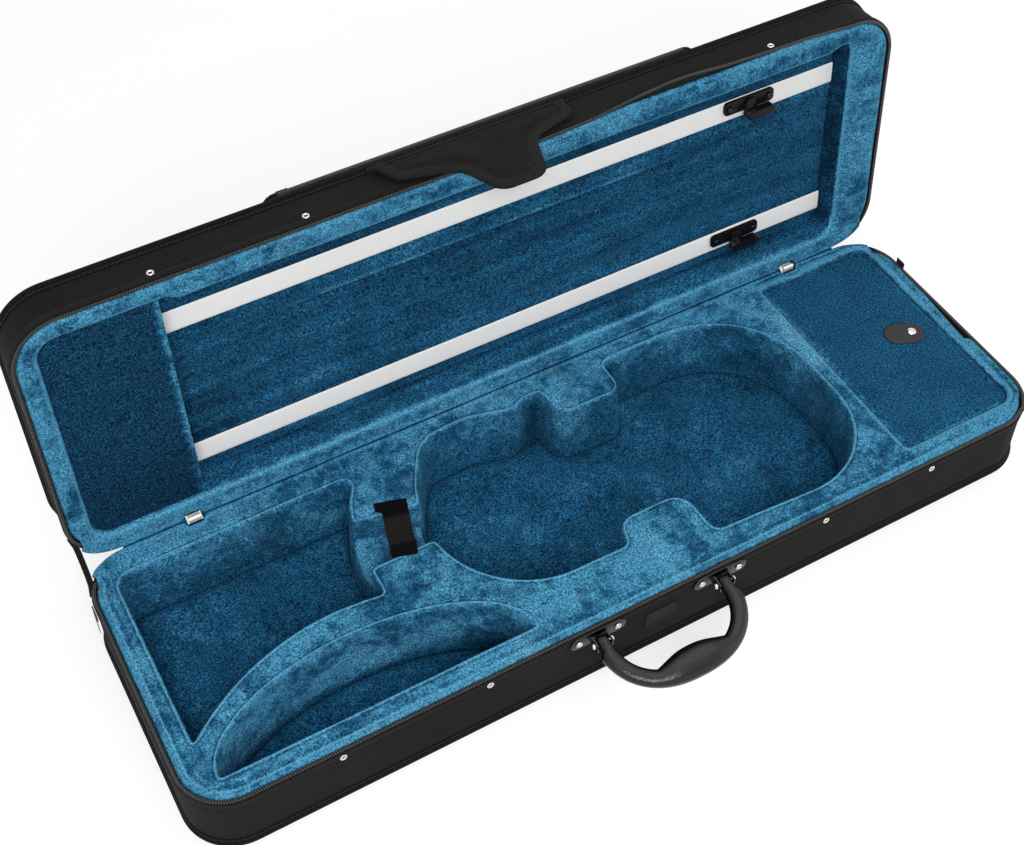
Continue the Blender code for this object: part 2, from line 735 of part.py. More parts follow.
def accessory_lid(base):
    """Lid of the accessory compartment, hinged at its left edge, with its pull tab."""
    pivot = (ACCESSORY_LEFT, 0.0, ACCESSORY_TOP + CLEARANCE)
    body = Body("accessory_axis", pivot, base)
    panel = plate(accessory_outline(LINING_GAP), ACCESSORY_TOP - ACCESSORY_PANEL, ACCESSORY_TOP, 0.001)
    piece("accessory_lid", body, DEEP_BLUE_PLUSH, [panel])
    x = ACCESSORY_RIGHT - PULL_TAB_FROM_RIGHT
    y = PULL_TAB_Y
    round_end = PULL_TAB_WIDTH / 2
    half = PULL_TAB_LENGTH / 2 - round_end
    ring = []
    for side in (1, -1):
        for i in range(9):
            angle = math.radians(-90 + 180 * i / 8) + (0 if side > 0 else math.pi)
            u = side * half + round_end * math.cos(angle)
            v = round_end * math.sin(angle)
            turned_x = x + u * math.cos(PULL_TAB_TURN) - v * math.sin(PULL_TAB_TURN)
            turned_y = y + u * math.sin(PULL_TAB_TURN) + v * math.cos(PULL_TAB_TURN)
            ring.append(Vector((turned_x, turned_y)))
    low = ACCESSORY_TOP + CLEARANCE
    high = low + PULL_TAB_THICKNESS
    piece("pull_tab", body, BLACK_GRIP, [plate(ring, low, high, PULL_TAB_THICKNESS * 0.4)])
    head = dome((x + 0.007, y - 0.002, high + CLEARANCE), (0, 0, 1), PULL_TAB_RIVET, RIVET_HEIGHT)
    piece("pull_tab_rivet", body, NICKEL, [head])


def hinge(base, lid, side, x):
    """Butt hinge on the back walls: a leaf on each half and a pin through three knuckles."""
    half = HINGE_WIDTH / 2
    third = HINGE_WIDTH / 3
    near = HALF_WIDTH + CLEARANCE
    far = near + LEAF_THICKNESS
    clear = KNUCKLE_RADIUS + 2 * CLEARANCE
    bore = PIN_RADIUS + CLEARANCE
    outer = [(x - half, x - third / 2 - CLEARANCE / 2), (x + third / 2 + CLEARANCE / 2, x + half)]
    inner = [(x - third / 2 + CLEARANCE / 2, x + third / 2 - CLEARANCE / 2)]
    for name, body, away, spans in (("base", base, -1, outer), ("lid", lid, 1, inner)):
        edge = sorted((HINGE_Z + away * clear, HINGE_Z + away * (clear + HINGE_LEAF)))
        leaf_name = f"hinge_{name}_leaf_{side}"
        leaf = piece(leaf_name, body, NICKEL, [box((x - half, near, edge[0]), (x + half, far, edge[1]))])
        tongues = []
        barrels = []
        for start, end in spans:
            reach = sorted((HINGE_Z + away * KNUCKLE_RADIUS * 0.4, HINGE_Z + away * (clear + 0.002)))
            tongues.append(box((start, near, reach[0]), (end, far, reach[1])))
            barrels.append(rod((start, HINGE_Y, HINGE_Z), (end, HINGE_Y, HINGE_Z), KNUCKLE_RADIUS))
        shape(leaf, "UNION", f"{leaf_name}_tongues", body, tongues)
        shape(leaf, "UNION", f"{leaf_name}_knuckles", body, barrels)
        drill = rod((x - half - 0.002, HINGE_Y, HINGE_Z), (x + half + 0.002, HINGE_Y, HINGE_Z), bore)
        shape(leaf, "DIFFERENCE", f"{leaf_name}_bore", body, [drill])
    pin = rod((x - half, HINGE_Y, HINGE_Z), (x + half, HINGE_Y, HINGE_Z), PIN_RADIUS)
    piece(f"hinge_pin_{side}", base, NICKEL, [pin])


def spine(base, lid):
    """Cloth along the back of both halves, notched round the hinges."""
    near = HALF_WIDTH + CLEARANCE
    far = near + SPINE_THICKNESS
    half = SPINE_END
    notch_half = HINGE_WIDTH / 2 + 0.0005
    for name, body, away in (("spine_base", base, -1), ("spine_lid", lid, 1)):
        reach = sorted((HINGE_Z + away * SPINE_FROM_AXIS, HINGE_Z + away * SPINE_HEIGHT))
        cloth = piece(name, body, BLACK_FABRIC, [box((-half, near, reach[0]), (half, far, reach[1]))])
        deep = KNUCKLE_RADIUS + 2 * CLEARANCE + HINGE_LEAF + 0.0005
        notch = sorted((HINGE_Z - away * 0.002, HINGE_Z + away * deep))
        for x in (HINGE_LEFT_X, HINGE_RIGHT_X):
            low = (x - notch_half, near - 0.002, notch[0])
            high = (x + notch_half, far + 0.002, notch[1])
            side = "left" if x < 0 else "right"
            shape(cloth, "DIFFERENCE", f"{name}_notch_{side}", body, [box(low, high)])


def side_rivets(base, lid):
    """Small rivets along the front of both halves."""
    face = -HALF_WIDTH - CLEARANCE
    rows = [("base", base, BASE_RIVETS_X, BASE_HEIGHT - BASE_RIVET_DROP)]
    rows.append(("lid", lid, LID_RIVETS_X, LID_RIM + LID_RIVET_RISE))
    for name, body, places, z in rows:
        for number, x in enumerate(places, start=1):
            head = dome((x, face, z), (0, -1, 0), RIVET_RADIUS, RIVET_HEIGHT)
            piece(f"{name}_side_rivet_{number}", body, NICKEL, [head])


def lid_shell(lid):
    """Stiff tray of the lid with its ribbon binding and zip tape."""
    levels = edge_levels(LID_FACE, LID_RIM + SHELL_BELOW_RIM, LID_FACE - SHELL_WALL)
    piece("lid_shell", lid, BLACK_FABRIC, [loft(shell_outline(), levels)])
    section = binding_section(LID_FACE, -1)
    piece("lid_binding", lid, BLACK_RIBBON, [sweep(shell_outline(), section, closed=True)])
    section = tape_section(LID_RIM, 1)
    piece("lid_zip_tape", lid, BLACK_RIBBON, [sweep(zip_path(), section, closed=False)])


def tray_outline(inset=0.0):
    """Plan of the hollow in the lid, moved inward by inset."""
    corner = TRAY_CORNER - inset
    corners = [
        (TRAY_LEFT + inset, TRAY_FRONT + inset, corner),
        (TRAY_RIGHT - inset, TRAY_FRONT + inset, corner),
        (TRAY_RIGHT - inset, TRAY_REAR - inset, corner),
        (TRAY_LEFT + inset, TRAY_REAR - inset, corner),
    ]
    return rounded(corners)


def lid_foam(lid):
    """Plush-lined foam of the lid: tray, sloped right end, and a shallow scoop in its floor."""
    top = LID_FACE - SHELL_WALL - CLEARANCE
    outline = shell_outline(FOAM_INSET)
    levels = [(-FOAM_EDGE, LID_RIM), (-FOAM_EDGE / 3, LID_RIM + FOAM_EDGE / 3)]
    levels += [(0, LID_RIM + FOAM_EDGE), (0, top)]
    foam = piece("lid_foam_insert", lid, BLUE_PLUSH, [loft(outline, levels)])
    rear_lips(foam, lid, LID_RIM, 1)
    floor = LID_RIM + TRAY_DEPTH
    hollow = lipped(tray_outline(), floor, LID_RIM, -1, TRAY_TAPER, below=0.0)
    shape(foam, "DIFFERENCE", "cutter_tray", lid, [hollow])
    near = TRAY_RIGHT - 0.001
    far = TRAY_RIGHT + SLOPE_LENGTH
    ends = (TRAY_FRONT + TRAY_CORNER / 2, TRAY_REAR - TRAY_CORNER / 2)
    above = LID_RIM - 0.0005
    rings = []
    for y in ends:
        rings.append([(near, y, above), (far, y, above), (near, y, LID_RIM + SLOPE_DEPTH)])
    shape(foam, "DIFFERENCE", "cutter_slope", lid, [skin(rings)])
    over = floor - 0.0005
    deep = floor + SCOOP_DEPTH
    front = SCOOP_FRONT
    tips = []
    bellies = []
    for tip, middle, back in zip(SCOOP_ENDS, SCOOP_DEEP, SCOOP_REAR_ENDS):
        tips.append([(tip, front, over), (tip, front + 0.0005, over), (tip, front, over + 0.0004)])
        bellies.append([(middle, front, over), (back, SCOOP_REAR, over), (middle, front, deep)])
    scoop = skin([tips[0], bellies[0], bellies[1], tips[1]])
    shape(foam, "DIFFERENCE", "cutter_scoop", lid, [scoop])


def bow_pocket(lid):
    """Plush board over the left end of the tray, which takes the tips of the bows."""
    inset = TRAY_TAPER * (POCKET_SINK + POCKET_THICKNESS - LIP_RADIUS) / TRAY_DEPTH + CLEARANCE
    left = TRAY_LEFT + inset
    right = TRAY_LEFT + POCKET_LENGTH
    front = TRAY_FRONT + inset
    rear = TRAY_REAR - inset
    corner = TRAY_CORNER - inset
    corners = [(left, front, corner), (right, front, 0.001), (right, rear, 0.001), (left, rear, corner)]
    low = LID_RIM + POCKET_SINK
    piece("bow_tip_pocket", lid, DEEP_BLUE_PLUSH, [plate(rounded(corners), low, low + POCKET_THICKNESS)])


def bow_rails(lid):
    """Two pale ribbon strips along the tray's floor, from under the pocket to the right wall."""
    floor = LID_RIM + TRAY_DEPTH - CLEARANCE
    start = TRAY_LEFT + POCKET_LENGTH - 0.025
    end = TRAY_RIGHT - TRAY_TAPER - 2 * CLEARANCE
    for name, y in (("bow_rail_upper", UPPER_RAIL_Y), ("bow_rail_lower", LOWER_RAIL_Y)):
        low = (start, y - RAIL_WIDTH / 2, floor - RAIL_THICKNESS)
        piece(name, lid, PALE_RIBBON, [box(low, (end, y + RAIL_WIDTH / 2, floor))])


def bow_holder(lid, side, x, y):
    """Bow holder: a screwed plate and a bar that turns on its hub across the bow."""
    seat = LID_RIM + TRAY_DEPTH - 2 * CLEARANCE - RAIL_THICKNESS
    face = seat - HOLDER_THICKNESS
    half = HOLDER_LENGTH / 2
    width = HOLDER_WIDTH / 2
    end = width * 0.6
    corners = [(x - half, y - width, end), (x + half, y - width, end), (x + half, y + width, end)]
    corners.append((x - half, y + width, end))
    name = f"bow_holder_plate_{side}"
    holder = piece(name, lid, BLACK_PLASTIC, [plate(rounded(corners), face, seat)])
    heads = []
    for step in (-1, 1):
        centre = (x + step * HOLDER_SCREW_SPREAD / 2, y, face + 0.001)
        heads.append(dome(centre, (0, 0, -1), HOLDER_SCREW_RADIUS, HOLDER_SCREW_HEIGHT))
    shape(holder, "UNION", f"{name}_screws", lid, heads)
    body = Body(f"bow_spinner_axis_{side}", (x, y, face), lid)
    hub_top = face - CLEARANCE
    bar_low = face - TURN_BAR_LIFT
    bar_high = bar_low - TURN_BAR_HEIGHT
    rise = hub_top - bar_high
    stem = [(HUB_RADIUS, 0), (HUB_RADIUS, rise * 0.85), (HUB_TOP_RADIUS, rise)]
    hub = turned((x, y, hub_top), (0, 0, -1), stem)
    spinner = piece(f"bow_spinner_{side}", body, BLACK_PLASTIC, [hub])
    arm_start = x - TURN_ARM_BEHIND
    arm = box((arm_start, y, bar_high + 0.001), (arm_start + TURN_ARM_WIDTH, y + TURN_BAR_REACH, bar_low))
    x0 = x - TURN_BAR_BEHIND
    x1 = x0 + TURN_BAR_LENGTH
    y0 = y + TURN_BAR_REACH - TURN_BAR_WIDTH / 2
    y1 = y + TURN_BAR_REACH + TURN_BAR_WIDTH / 2
    corners = [(x0, y0, 0.003), (x1, y0, 0.003), (x1, y1, 0.003), (x0, y1, 0.003)]
    bar = plate(rounded(corners), bar_high, bar_low - 0.0002)
    shape(spinner, "UNION", f"bow_spinner_{side}_arm", body, [arm])
    shape(spinner, "UNION", f"bow_spinner_{side}_bar", body, [bar])


def pocket_ring(inset, height):
    """Ring of the music pocket: its plan moved inward by inset, with the corners as round as before."""
    x0 = MUSIC_POCKET_X - MUSIC_POCKET_LENGTH / 2 + inset
    x1 = MUSIC_POCKET_X + MUSIC_POCKET_LENGTH / 2 - inset
    y0 = -HALF_WIDTH + MUSIC_POCKET_FRONT_RIM + inset
    y1 = HALF_WIDTH - MUSIC_POCKET_REAR_RIM - inset
    corner = MUSIC_POCKET_CORNER
    corners = [(x0, y0, corner), (x1, y0, corner), (x1, y1, corner), (x0, y1, corner)]
    return [(point.x, point.y, height) for point in rounded(corners)]


def music_pocket(lid):
    """Pocket on the lid's outer face, its zip along the front side, and the slider."""
    face = LID_FACE + CLEARANCE
    edge = MUSIC_POCKET_EDGE
    outer = face + MUSIC_POCKET_DEPTH
    rings = [pocket_ring(0.0, face)]
    for i in range(4):
        angle = math.radians(90) * i / 3
        rings.append(pocket_ring(edge * (1 - math.cos(angle)), outer - edge * (1 - math.sin(angle))))
    piece("music_pocket", lid, BLACK_FABRIC, [skin(rings)])
    start = MUSIC_POCKET_X - MUSIC_POCKET_LENGTH / 2
    end = start + MUSIC_POCKET_LENGTH - MUSIC_POCKET_CORNER
    back = -HALF_WIDTH + MUSIC_POCKET_FRONT_RIM - CLEARANCE
    front = back - POCKET_ZIP_THICKNESS
    high = outer - edge * 0.5
    low = high - POCKET_ZIP_HEIGHT
    strip = box((start + MUSIC_POCKET_CORNER, front, low), (end, back, high))
    piece("music_pocket_zip", lid, BLACK_RIBBON, [strip])
    x = start + POCKET_SLIDER_START
    z = (low + high) / 2
    half = POCKET_SLIDER_LENGTH / 2
    side = POCKET_SLIDER_WIDTH / 2
    near = front - CLEARANCE
    far = near - POCKET_SLIDER_HEIGHT
    body = Body("pocket_slider_start", (x, near, z), lid)
    block = box((x - half, far, z - side), (x + half, near, z + side))
    side = POCKET_PULL_WIDTH / 2
    far += (POCKET_SLIDER_HEIGHT - POCKET_PULL_THICKNESS) / 2
    reach = x + half + POCKET_PULL_LENGTH
    pull = box((x + half * 0.6, far, z - side), (reach, far + POCKET_PULL_THICKNESS, z + side))
    shape(piece("pocket_slider", body, NICKEL, [block]), "UNION", "pocket_slider_pull", body, [pull])


def flap_outline():
    """Edge of the handle flap, in the plane of the front wall: x and height of the closed lid."""
    corners = [(FLAP_TONGUE_ENDS[0], LID_RIM - FLAP_TONGUE, FLAP_TONGUE_RADIUS)]
    corners.append((FLAP_TONGUE_ENDS[1], LID_RIM - FLAP_TONGUE, FLAP_TONGUE_RADIUS))
    right = [(*FLAP_HOLLOWS[1], FLAP_HOLLOW_RADIUS), (*FLAP_SHOULDERS[1], FLAP_SHOULDER_RADIUS)]
    right.append((FLAP_ROOT_ENDS[1], FLAP_ROOT, 0.0))
    left = [(FLAP_ROOT_ENDS[0], FLAP_ROOT, 0.0), (*FLAP_SHOULDERS[0], FLAP_SHOULDER_RADIUS)]
    left.append((*FLAP_HOLLOWS[0], FLAP_HOLLOW_RADIUS))
    corners += [(x, LID_RIM + rise, radius) for x, rise, radius in right + left]
    return rounded(corners, math.radians(12))


def handle_flap(lid):
    """Flap over the handle's place: a padded tongue with ribbon binding, sewn on at its root."""
    root = LID_RIM + FLAP_ROOT
    inner = -FLAP_Y
    outer = inner + FLAP_THICKNESS
    body = Body("flap_axis", (0.0, -outer - CLEARANCE, root), lid)
    inset = FLAP_BINDING
    levels = [(-inset, inner), (-inset, outer - FLAP_EDGE), (-inset - FLAP_EDGE, outer)]
    outline = flap_outline()
    piece("flap_panel", body, BLACK_FABRIC, [loft(outline, levels, on_front)])
    top = max(point.y for point in outline)
    first = next(i for i, point in enumerate(outline) if point.y > top - 1e-6)
    path = outline[first + 1 :] + outline[: first + 1]
    start = inner - CLEARANCE
    end = outer + CLEARANCE
    side = inset * 0.2
    section = [(CLEARANCE - inset, start), (-side, start), (0, (start + end) / 2)]
    section += [(-side, end), (CLEARANCE - inset, end)]
    piece("flap_binding", body, BLACK_RIBBON, [sweep(path, section, closed=False, place=on_front)])
    seam = root + LINING_GAP
    low = (FLAP_ROOT_ENDS[0] - inset, FLAP_Y + CLEARANCE, seam)
    high = (FLAP_ROOT_ENDS[1] + inset, -HALF_WIDTH - CLEARANCE, seam + FLAP_STRIP)
    piece("flap_root_strip", lid, BLACK_RIBBON, [box(low, high)])


def handle_bracket(base, side, x):
    """Bracket over the zip tape: a long rounded plate with two ears that carry the handle's pin."""
    half = BRACKET_LENGTH / 2
    width = BRACKET_WIDTH / 2
    end = width * 0.95
    corners = [(x - half, BRACKET_Z - width, end), (x + half, BRACKET_Z - width, end)]
    corners += [(x + half, BRACKET_Z + width, end), (x - half, BRACKET_Z + width, end)]
    backing = plate(rounded(corners), BRACKET_BACK, BRACKET_FACE, place=on_front)
    bracket = piece(f"handle_bracket_{side}", base, NICKEL, [backing])
    ears = []
    for step in (-1, 1):
        sides = sorted((x + step * EAR_INSIDE, x + step * (EAR_INSIDE + EAR_THICKNESS)))
        start = (sides[0], HANDLE_Y - EAR_HALF, HANDLE_Z - EAR_HALF)
        end = (sides[1], -BRACKET_FACE + BRACKET_PLATE / 2, HANDLE_Z + EAR_HALF)
        ears.append(box(start, end))
    shape(bracket, "UNION", f"handle_bracket_{side}_ears", base, ears)
    reach = EAR_INSIDE + 2 * EAR_THICKNESS
    bore = PIN_WIRE + CLEARANCE
    drill = rod((x - reach, HANDLE_Y, HANDLE_Z), (x + reach, HANDLE_Y, HANDLE_Z), bore)
    shape(bracket, "DIFFERENCE", f"handle_bracket_{side}_bore", base, [drill])


def bracket_rivets(base, places):
    """Two rivets through each handle bracket."""
    for side, x in places.items():
        outward = -1 if side == "left" else 1
        for end, step in (("outer", outward), ("inner", -outward)):
            centre = (x + step * BRACKET_RIVET_SPREAD / 2, -BRACKET_FACE - CLEARANCE, BRACKET_Z)
            head = dome(centre, (0, -1, 0), BRACKET_RIVET_RADIUS, BRACKET_RIVET_HEIGHT)
            piece(f"bracket_rivet_{side}_{end}", base, NICKEL, [head])


def grip_ring(angle):
    """One ring of the grip: middle, inward normal, width and height where its outer edge has angle."""
    power = 2 / GRIP_SQUARENESS
    across = abs(math.sin(angle))
    along = abs(math.cos(angle))
    outer = Vector((GRIP_HALF_SPAN * across**power, -GRIP_REACH * along**power))
    slope = GRIP_SQUARENESS - 1
    normal = Vector((across ** (power * slope) / GRIP_HALF_SPAN, -(along ** (power * slope)) / GRIP_REACH))
    if angle < 0:
        outer.x = -outer.x
        normal.x = -normal.x
    inward = -normal.normalized()
    palm = max(0.0, 1 - (abs(outer.x) / GRIP_PALM_HALF) ** 4)
    width = GRIP_ARM_WIDTH + (GRIP_PALM_WIDTH - GRIP_ARM_WIDTH) * palm
    height = GRIP_ARM_HEIGHT + (GRIP_PALM_HEIGHT - GRIP_ARM_HEIGHT) * palm
    return outer + inward * width / 2, inward, width, height


def grip_end(side):
    """Rings of one arm where it narrows between the ears and ends round about the pin."""
    rings = []
    inward = Vector((-side, 0))
    for reach in (EAR_HALF + 2 * CLEARANCE, 0.0):
        rings.append((Vector((side * BRACKET_SPREAD, -reach)), inward, GRIP_END_WIDTH, 2 * GRIP_END_RADIUS))
    for part in (0.5, 0.8, 0.95):
        height = 2 * GRIP_END_RADIUS * math.sqrt(1 - part**2)
        middle = Vector((side * BRACKET_SPREAD, part * GRIP_END_RADIUS))
        rings.append((middle, inward, GRIP_END_WIDTH * (1 - 0.3 * part**2), height))
    return rings


def handle(base):
    """Moulded grip that turns on two pins with domed heads."""
    body = Body("handle_axis", (HANDLE_X, HANDLE_Y, HANDLE_Z), base, HANDLE_DROOP)
    last = math.acos((GRIP_WAIST_REACH / GRIP_REACH) ** (GRIP_SQUARENESS / 2))
    stations = list(reversed(grip_end(-1)))
    stations += [grip_ring(last * i / 14) for i in range(-14, 15)]
    stations += grip_end(1)
    rings = []
    for middle, inward, width, height in stations:
        ring = []
        for k in range(12):
            angle = 2 * math.pi * k / 12
            reach = inward * math.cos(angle) * width / 2
            up = math.sin(angle) * height / 2
            ring.append((HANDLE_X + middle.x + reach.x, HANDLE_Y + middle.y + reach.y, HANDLE_Z + up))
        rings.append(ring)
    grip = piece("handle_grip", body, BLACK_GRIP, [skin(rings)])
    for side, step in (("left", -1), ("right", 1)):
        x = HANDLE_X + step * BRACKET_SPREAD
        head_seat = EAR_INSIDE + EAR_THICKNESS + CLEARANCE
        start = (x - head_seat, HANDLE_Y, HANDLE_Z)
        end = (x + head_seat, HANDLE_Y, HANDLE_Z)
        drill = rod(start, end, PIN_WIRE + CLEARANCE)
        shape(grip, "DIFFERENCE", f"handle_grip_bore_{side}", body, [drill])
        pin = piece(f"handle_loop_{side}", body, NICKEL, [rod(start, end, PIN_WIRE)])
        heads = []
        for point, direction in ((start, (-1, 0, 0)), (end, (1, 0, 0))):
            heads.append(dome(point, direction, PIN_HEAD, PIN_HEAD_HEIGHT))
        shape(pin, "UNION", f"handle_loop_{side}_heads", body, heads)


def zip_slider(base, side, step):
    """Slider of the main zip, parked near the rear on an end wall, with its pull hanging down."""
    wall = HALF_LENGTH + TAPE_OUTSIDE + CLEARANCE
    y = HALF_WIDTH - SLIDER_FROM_REAR
    z = HINGE_Z
    body = Body(f"zip_slider_start_{side}", (step * wall, y, z), base)
    near = sorted((step * wall, step * (wall + SLIDER_THICKNESS)))
    half = SLIDER_LENGTH / 2
    low = (near[0], y - half, z - SLIDER_HEIGHT / 2)
    high = (near[1], y + half, z + SLIDER_HEIGHT / 2)
    block = box(low, high)
    out = wall + SLIDER_THICKNESS
    span = sorted((step * (out - SLIDER_PULL_THICKNESS / 3), step * (out + SLIDER_PULL_THICKNESS)))
    side_reach = SLIDER_PULL_WIDTH / 2
    top = z - 0.001
    pull = box((span[0], y - side_reach, top - SLIDER_PULL_LENGTH), (span[1], y + side_reach, top))
    name = f"zip_slider_{side}"
    shape(piece(name, body, BLACK_PLASTIC, [block]), "UNION", f"{name}_pull", body, [pull])


def main():
    """Builds the whole case."""
    clear_scene()
    base = Body("base_frame", (0.0, 0.0, 0.0))
    lid = Body("lid_axis", (0.0, HINGE_Y, HINGE_Z), base, -LID_OPEN)
    base_shell(base)
    zip_tails(base)
    base_foam(base)
    neck_cradle(base)
    neck_strap(base)
    accessory_lid(base)
    lid_shell(lid)
    lid_foam(lid)
    bow_pocket(lid)
    bow_rails(lid)
    bow_holder(lid, "upper", UPPER_HOLDER_X, UPPER_RAIL_Y + UPPER_HOLDER_FROM_RAIL)
    bow_holder(lid, "lower", LOWER_HOLDER_X, LOWER_RAIL_Y + LOWER_HOLDER_FROM_RAIL)
    music_pocket(lid)
    handle_flap(lid)
    for side, x in (("left", HINGE_LEFT_X), ("right", HINGE_RIGHT_X)):
        hinge(base, lid, side, x)
    spine(base, lid)
    side_rivets(base, lid)
    brackets = {"left": HANDLE_X - BRACKET_SPREAD, "right": HANDLE_X + BRACKET_SPREAD}
    for side, x in brackets.items():
        handle_bracket(base, side, x)
    bracket_rivets(base, brackets)
    handle(base)
    for side, step in (("left", -1), ("right", 1)):
        zip_slider(base, side, step)
    bpy.context.view_layer.update()


main()
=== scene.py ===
"""Soft oblong violin case in black fabric, lined in blue plush and standing wide open.

Metres, +Z up, +X along the case to the accessory compartment, +Y to the hinge side. Pieces of the lid are
worked out with the lid closed and then turned open about the hinge.
"""

import json
import math

import bmesh
import bpy
import numpy as np
from bpy.props import FloatProperty, FloatVectorProperty, PointerProperty
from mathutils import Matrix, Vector
from mathutils.geometry import delaunay_2d_cdt

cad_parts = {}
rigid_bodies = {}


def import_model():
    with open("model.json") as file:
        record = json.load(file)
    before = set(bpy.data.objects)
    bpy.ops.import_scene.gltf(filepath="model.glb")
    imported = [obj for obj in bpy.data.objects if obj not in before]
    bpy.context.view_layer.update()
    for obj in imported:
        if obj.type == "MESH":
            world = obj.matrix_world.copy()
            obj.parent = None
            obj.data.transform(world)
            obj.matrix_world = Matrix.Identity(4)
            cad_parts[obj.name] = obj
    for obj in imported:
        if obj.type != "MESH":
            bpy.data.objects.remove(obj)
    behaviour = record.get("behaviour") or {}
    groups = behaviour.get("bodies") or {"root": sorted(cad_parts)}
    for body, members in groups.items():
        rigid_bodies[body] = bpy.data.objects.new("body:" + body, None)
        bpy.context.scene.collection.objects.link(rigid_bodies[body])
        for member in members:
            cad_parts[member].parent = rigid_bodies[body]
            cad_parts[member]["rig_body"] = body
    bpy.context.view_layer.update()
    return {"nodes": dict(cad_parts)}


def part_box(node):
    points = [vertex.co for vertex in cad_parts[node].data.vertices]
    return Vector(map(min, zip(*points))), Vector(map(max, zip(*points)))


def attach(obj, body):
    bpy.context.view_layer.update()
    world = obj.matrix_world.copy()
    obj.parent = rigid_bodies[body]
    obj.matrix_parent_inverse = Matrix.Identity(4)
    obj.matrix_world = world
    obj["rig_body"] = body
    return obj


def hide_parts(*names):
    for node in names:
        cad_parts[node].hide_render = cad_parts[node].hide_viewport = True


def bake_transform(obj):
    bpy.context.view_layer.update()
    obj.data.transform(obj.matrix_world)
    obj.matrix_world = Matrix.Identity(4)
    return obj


bl_info = {
    "name": "Soft Violin Case",
    "version": (1, 0, 0),
    "blender": (4, 5, 0),
    "location": "3D View > Sidebar > Violin Case",
    "description": "Builds an open oblong violin case with its plush lining, fabric shell and fittings",
    "category": "Add Mesh",
}

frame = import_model()

# Places taken from the frame
SHELL_LOW, SHELL_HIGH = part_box("base_shell")
HALF_LENGTH = SHELL_HIGH.x
HALF_WIDTH = SHELL_HIGH.y
BASE_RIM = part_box("base_foam_insert")[1].z
FOAM_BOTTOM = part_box("base_foam_insert")[0].z

# Sizes of the shell and lining
CORNER = 0.0415
EDGE_ROUND = 0.006
WALL = 0.003
FOAM_INSET = 0.0035
RIM_GAP = 0.0016
LID_RIM = BASE_RIM + RIM_GAP
LID_DEPTH = 0.0445
LID_FACE = LID_RIM + LID_DEPTH
SHELL_BELOW_RIM = 0.0028
HINGE_Y = 0.1248
HINGE_Z = 0.0678
LID_OPEN = math.radians(94.6)
CLEAR = 0.0003

# Hinges, and the plush carried back over the rear edge beside them
HINGES_X = (-0.292, 0.300)
HINGE_NOTCH = 0.0066
HINGE_SHARE = 0.44
SPINE_END = 0.353
REAR_LIP = 0.0050

# Hollows of the base
NECK_LOW, NECK_HIGH = 0.011, 0.057
CRADLE_TOP = 0.039
CRESCENT = (-0.231, -0.100, 0.131, 0.062)
DIVIDER = (-0.231, -0.218, 0.206)
COMPARTMENT_LEFT, COMPARTMENT_REAR = -0.369, 0.101
ACCESSORY = (0.261, 0.376, -0.101, 0.110)

# Hollow of the lid
TRAY = (-0.371, 0.353, -0.105, 0.106)
TRAY_CORNER = 0.017
TRAY_DEPTH = 0.024
SLOPE_LENGTH, SLOPE_DEPTH = 0.018, 0.007
SCOOP = (-0.247, 0.219, -0.031, 0.040, 0.005)
RAIL_HALF = 0.01025
RAILS_Y = {"bow_rail_upper": -0.0625, "bow_rail_lower": 0.080}
POCKET_EDGE = -0.277

# Flap over the handle, from the lid's rim
FLAP_ROOT = 0.0293

# Handle and its fittings
HANDLE = (-0.0028, -0.133, 0.0572)
HANDLE_DROOP = math.radians(10)
BRACKET_SPREAD = 0.0568
BRACKET_Z = BASE_RIM - 0.0080
GRIP_HALF_SPAN, GRIP_REACH, GRIP_SQUARENESS = 0.0658, 0.0587, 2.32
GRIP_WAIST_REACH = 0.0125
GRIP_END_RADIUS = 0.0058


def arc(cx, cy, rx, ry, start, end, count=60):
    """Arc of an ellipse in plan: centre + (rx cos a, ry sin a), with a from start to end in degrees."""
    a = np.radians(np.linspace(start, end, count))
    return np.stack([cx + rx * np.cos(a), cy + ry * np.sin(a)], axis=1)


def rounded(corners):
    """Closed polygon, anticlockwise, whose corners (x, y, radius) give way to arcs that touch both sides."""
    outline = []
    for i, (x, y, radius) in enumerate(corners):
        here = np.array([x, y])
        back = np.array(corners[i - 1][:2]) - here
        ahead = np.array(corners[(i + 1) % len(corners)][:2]) - here
        back = back / np.linalg.norm(back)
        ahead = ahead / np.linalg.norm(ahead)
        turn = math.pi - math.acos(float(np.clip(back @ ahead, -1, 1)))
        if radius <= 0 or turn < 0.02:
            outline.append(here[None])
            continue
        start = here + back * radius * math.tan(turn / 2)
        middle = back + ahead
        centre = here + middle / np.linalg.norm(middle) * radius / math.cos(turn / 2)
        side = 1 if back[0] * ahead[1] - back[1] * ahead[0] < 0 else -1
        first = math.degrees(math.atan2(*(start - centre)[::-1]))
        last = first + side * math.degrees(turn)
        outline.append(arc(*centre, radius, radius, first, last, max(3, int(math.degrees(turn) / 5))))
    return np.vstack(outline)


def along(path, pitch, closed=True):
    """Even steps along a path in plan: points, unit tangents and unit normals that point outward."""
    track = np.vstack([path, path[:1]]) if closed else path
    length = np.r_[0, np.cumsum(np.linalg.norm(np.diff(track, axis=0), axis=1))]
    count = int(round(length[-1] / pitch))
    at = np.linspace(0, length[-1], count, endpoint=False) + (0 if closed else pitch / 2)
    points = np.stack([np.interp(at, length, track[:, k]) for k in (0, 1)], axis=1)
    return points, *directions(points, closed)


def directions(points, closed=True):
    """Unit tangents of a path by central differences, and normals a quarter turn clockwise from them."""
    if closed:
        run = np.roll(points, -1, axis=0) - np.roll(points, 1, axis=0)
    else:
        run = np.gradient(points, axis=0)
    run = run / np.linalg.norm(run, axis=1)[:, None]
    return run, np.stack([run[:, 1], -run[:, 0]], axis=1)


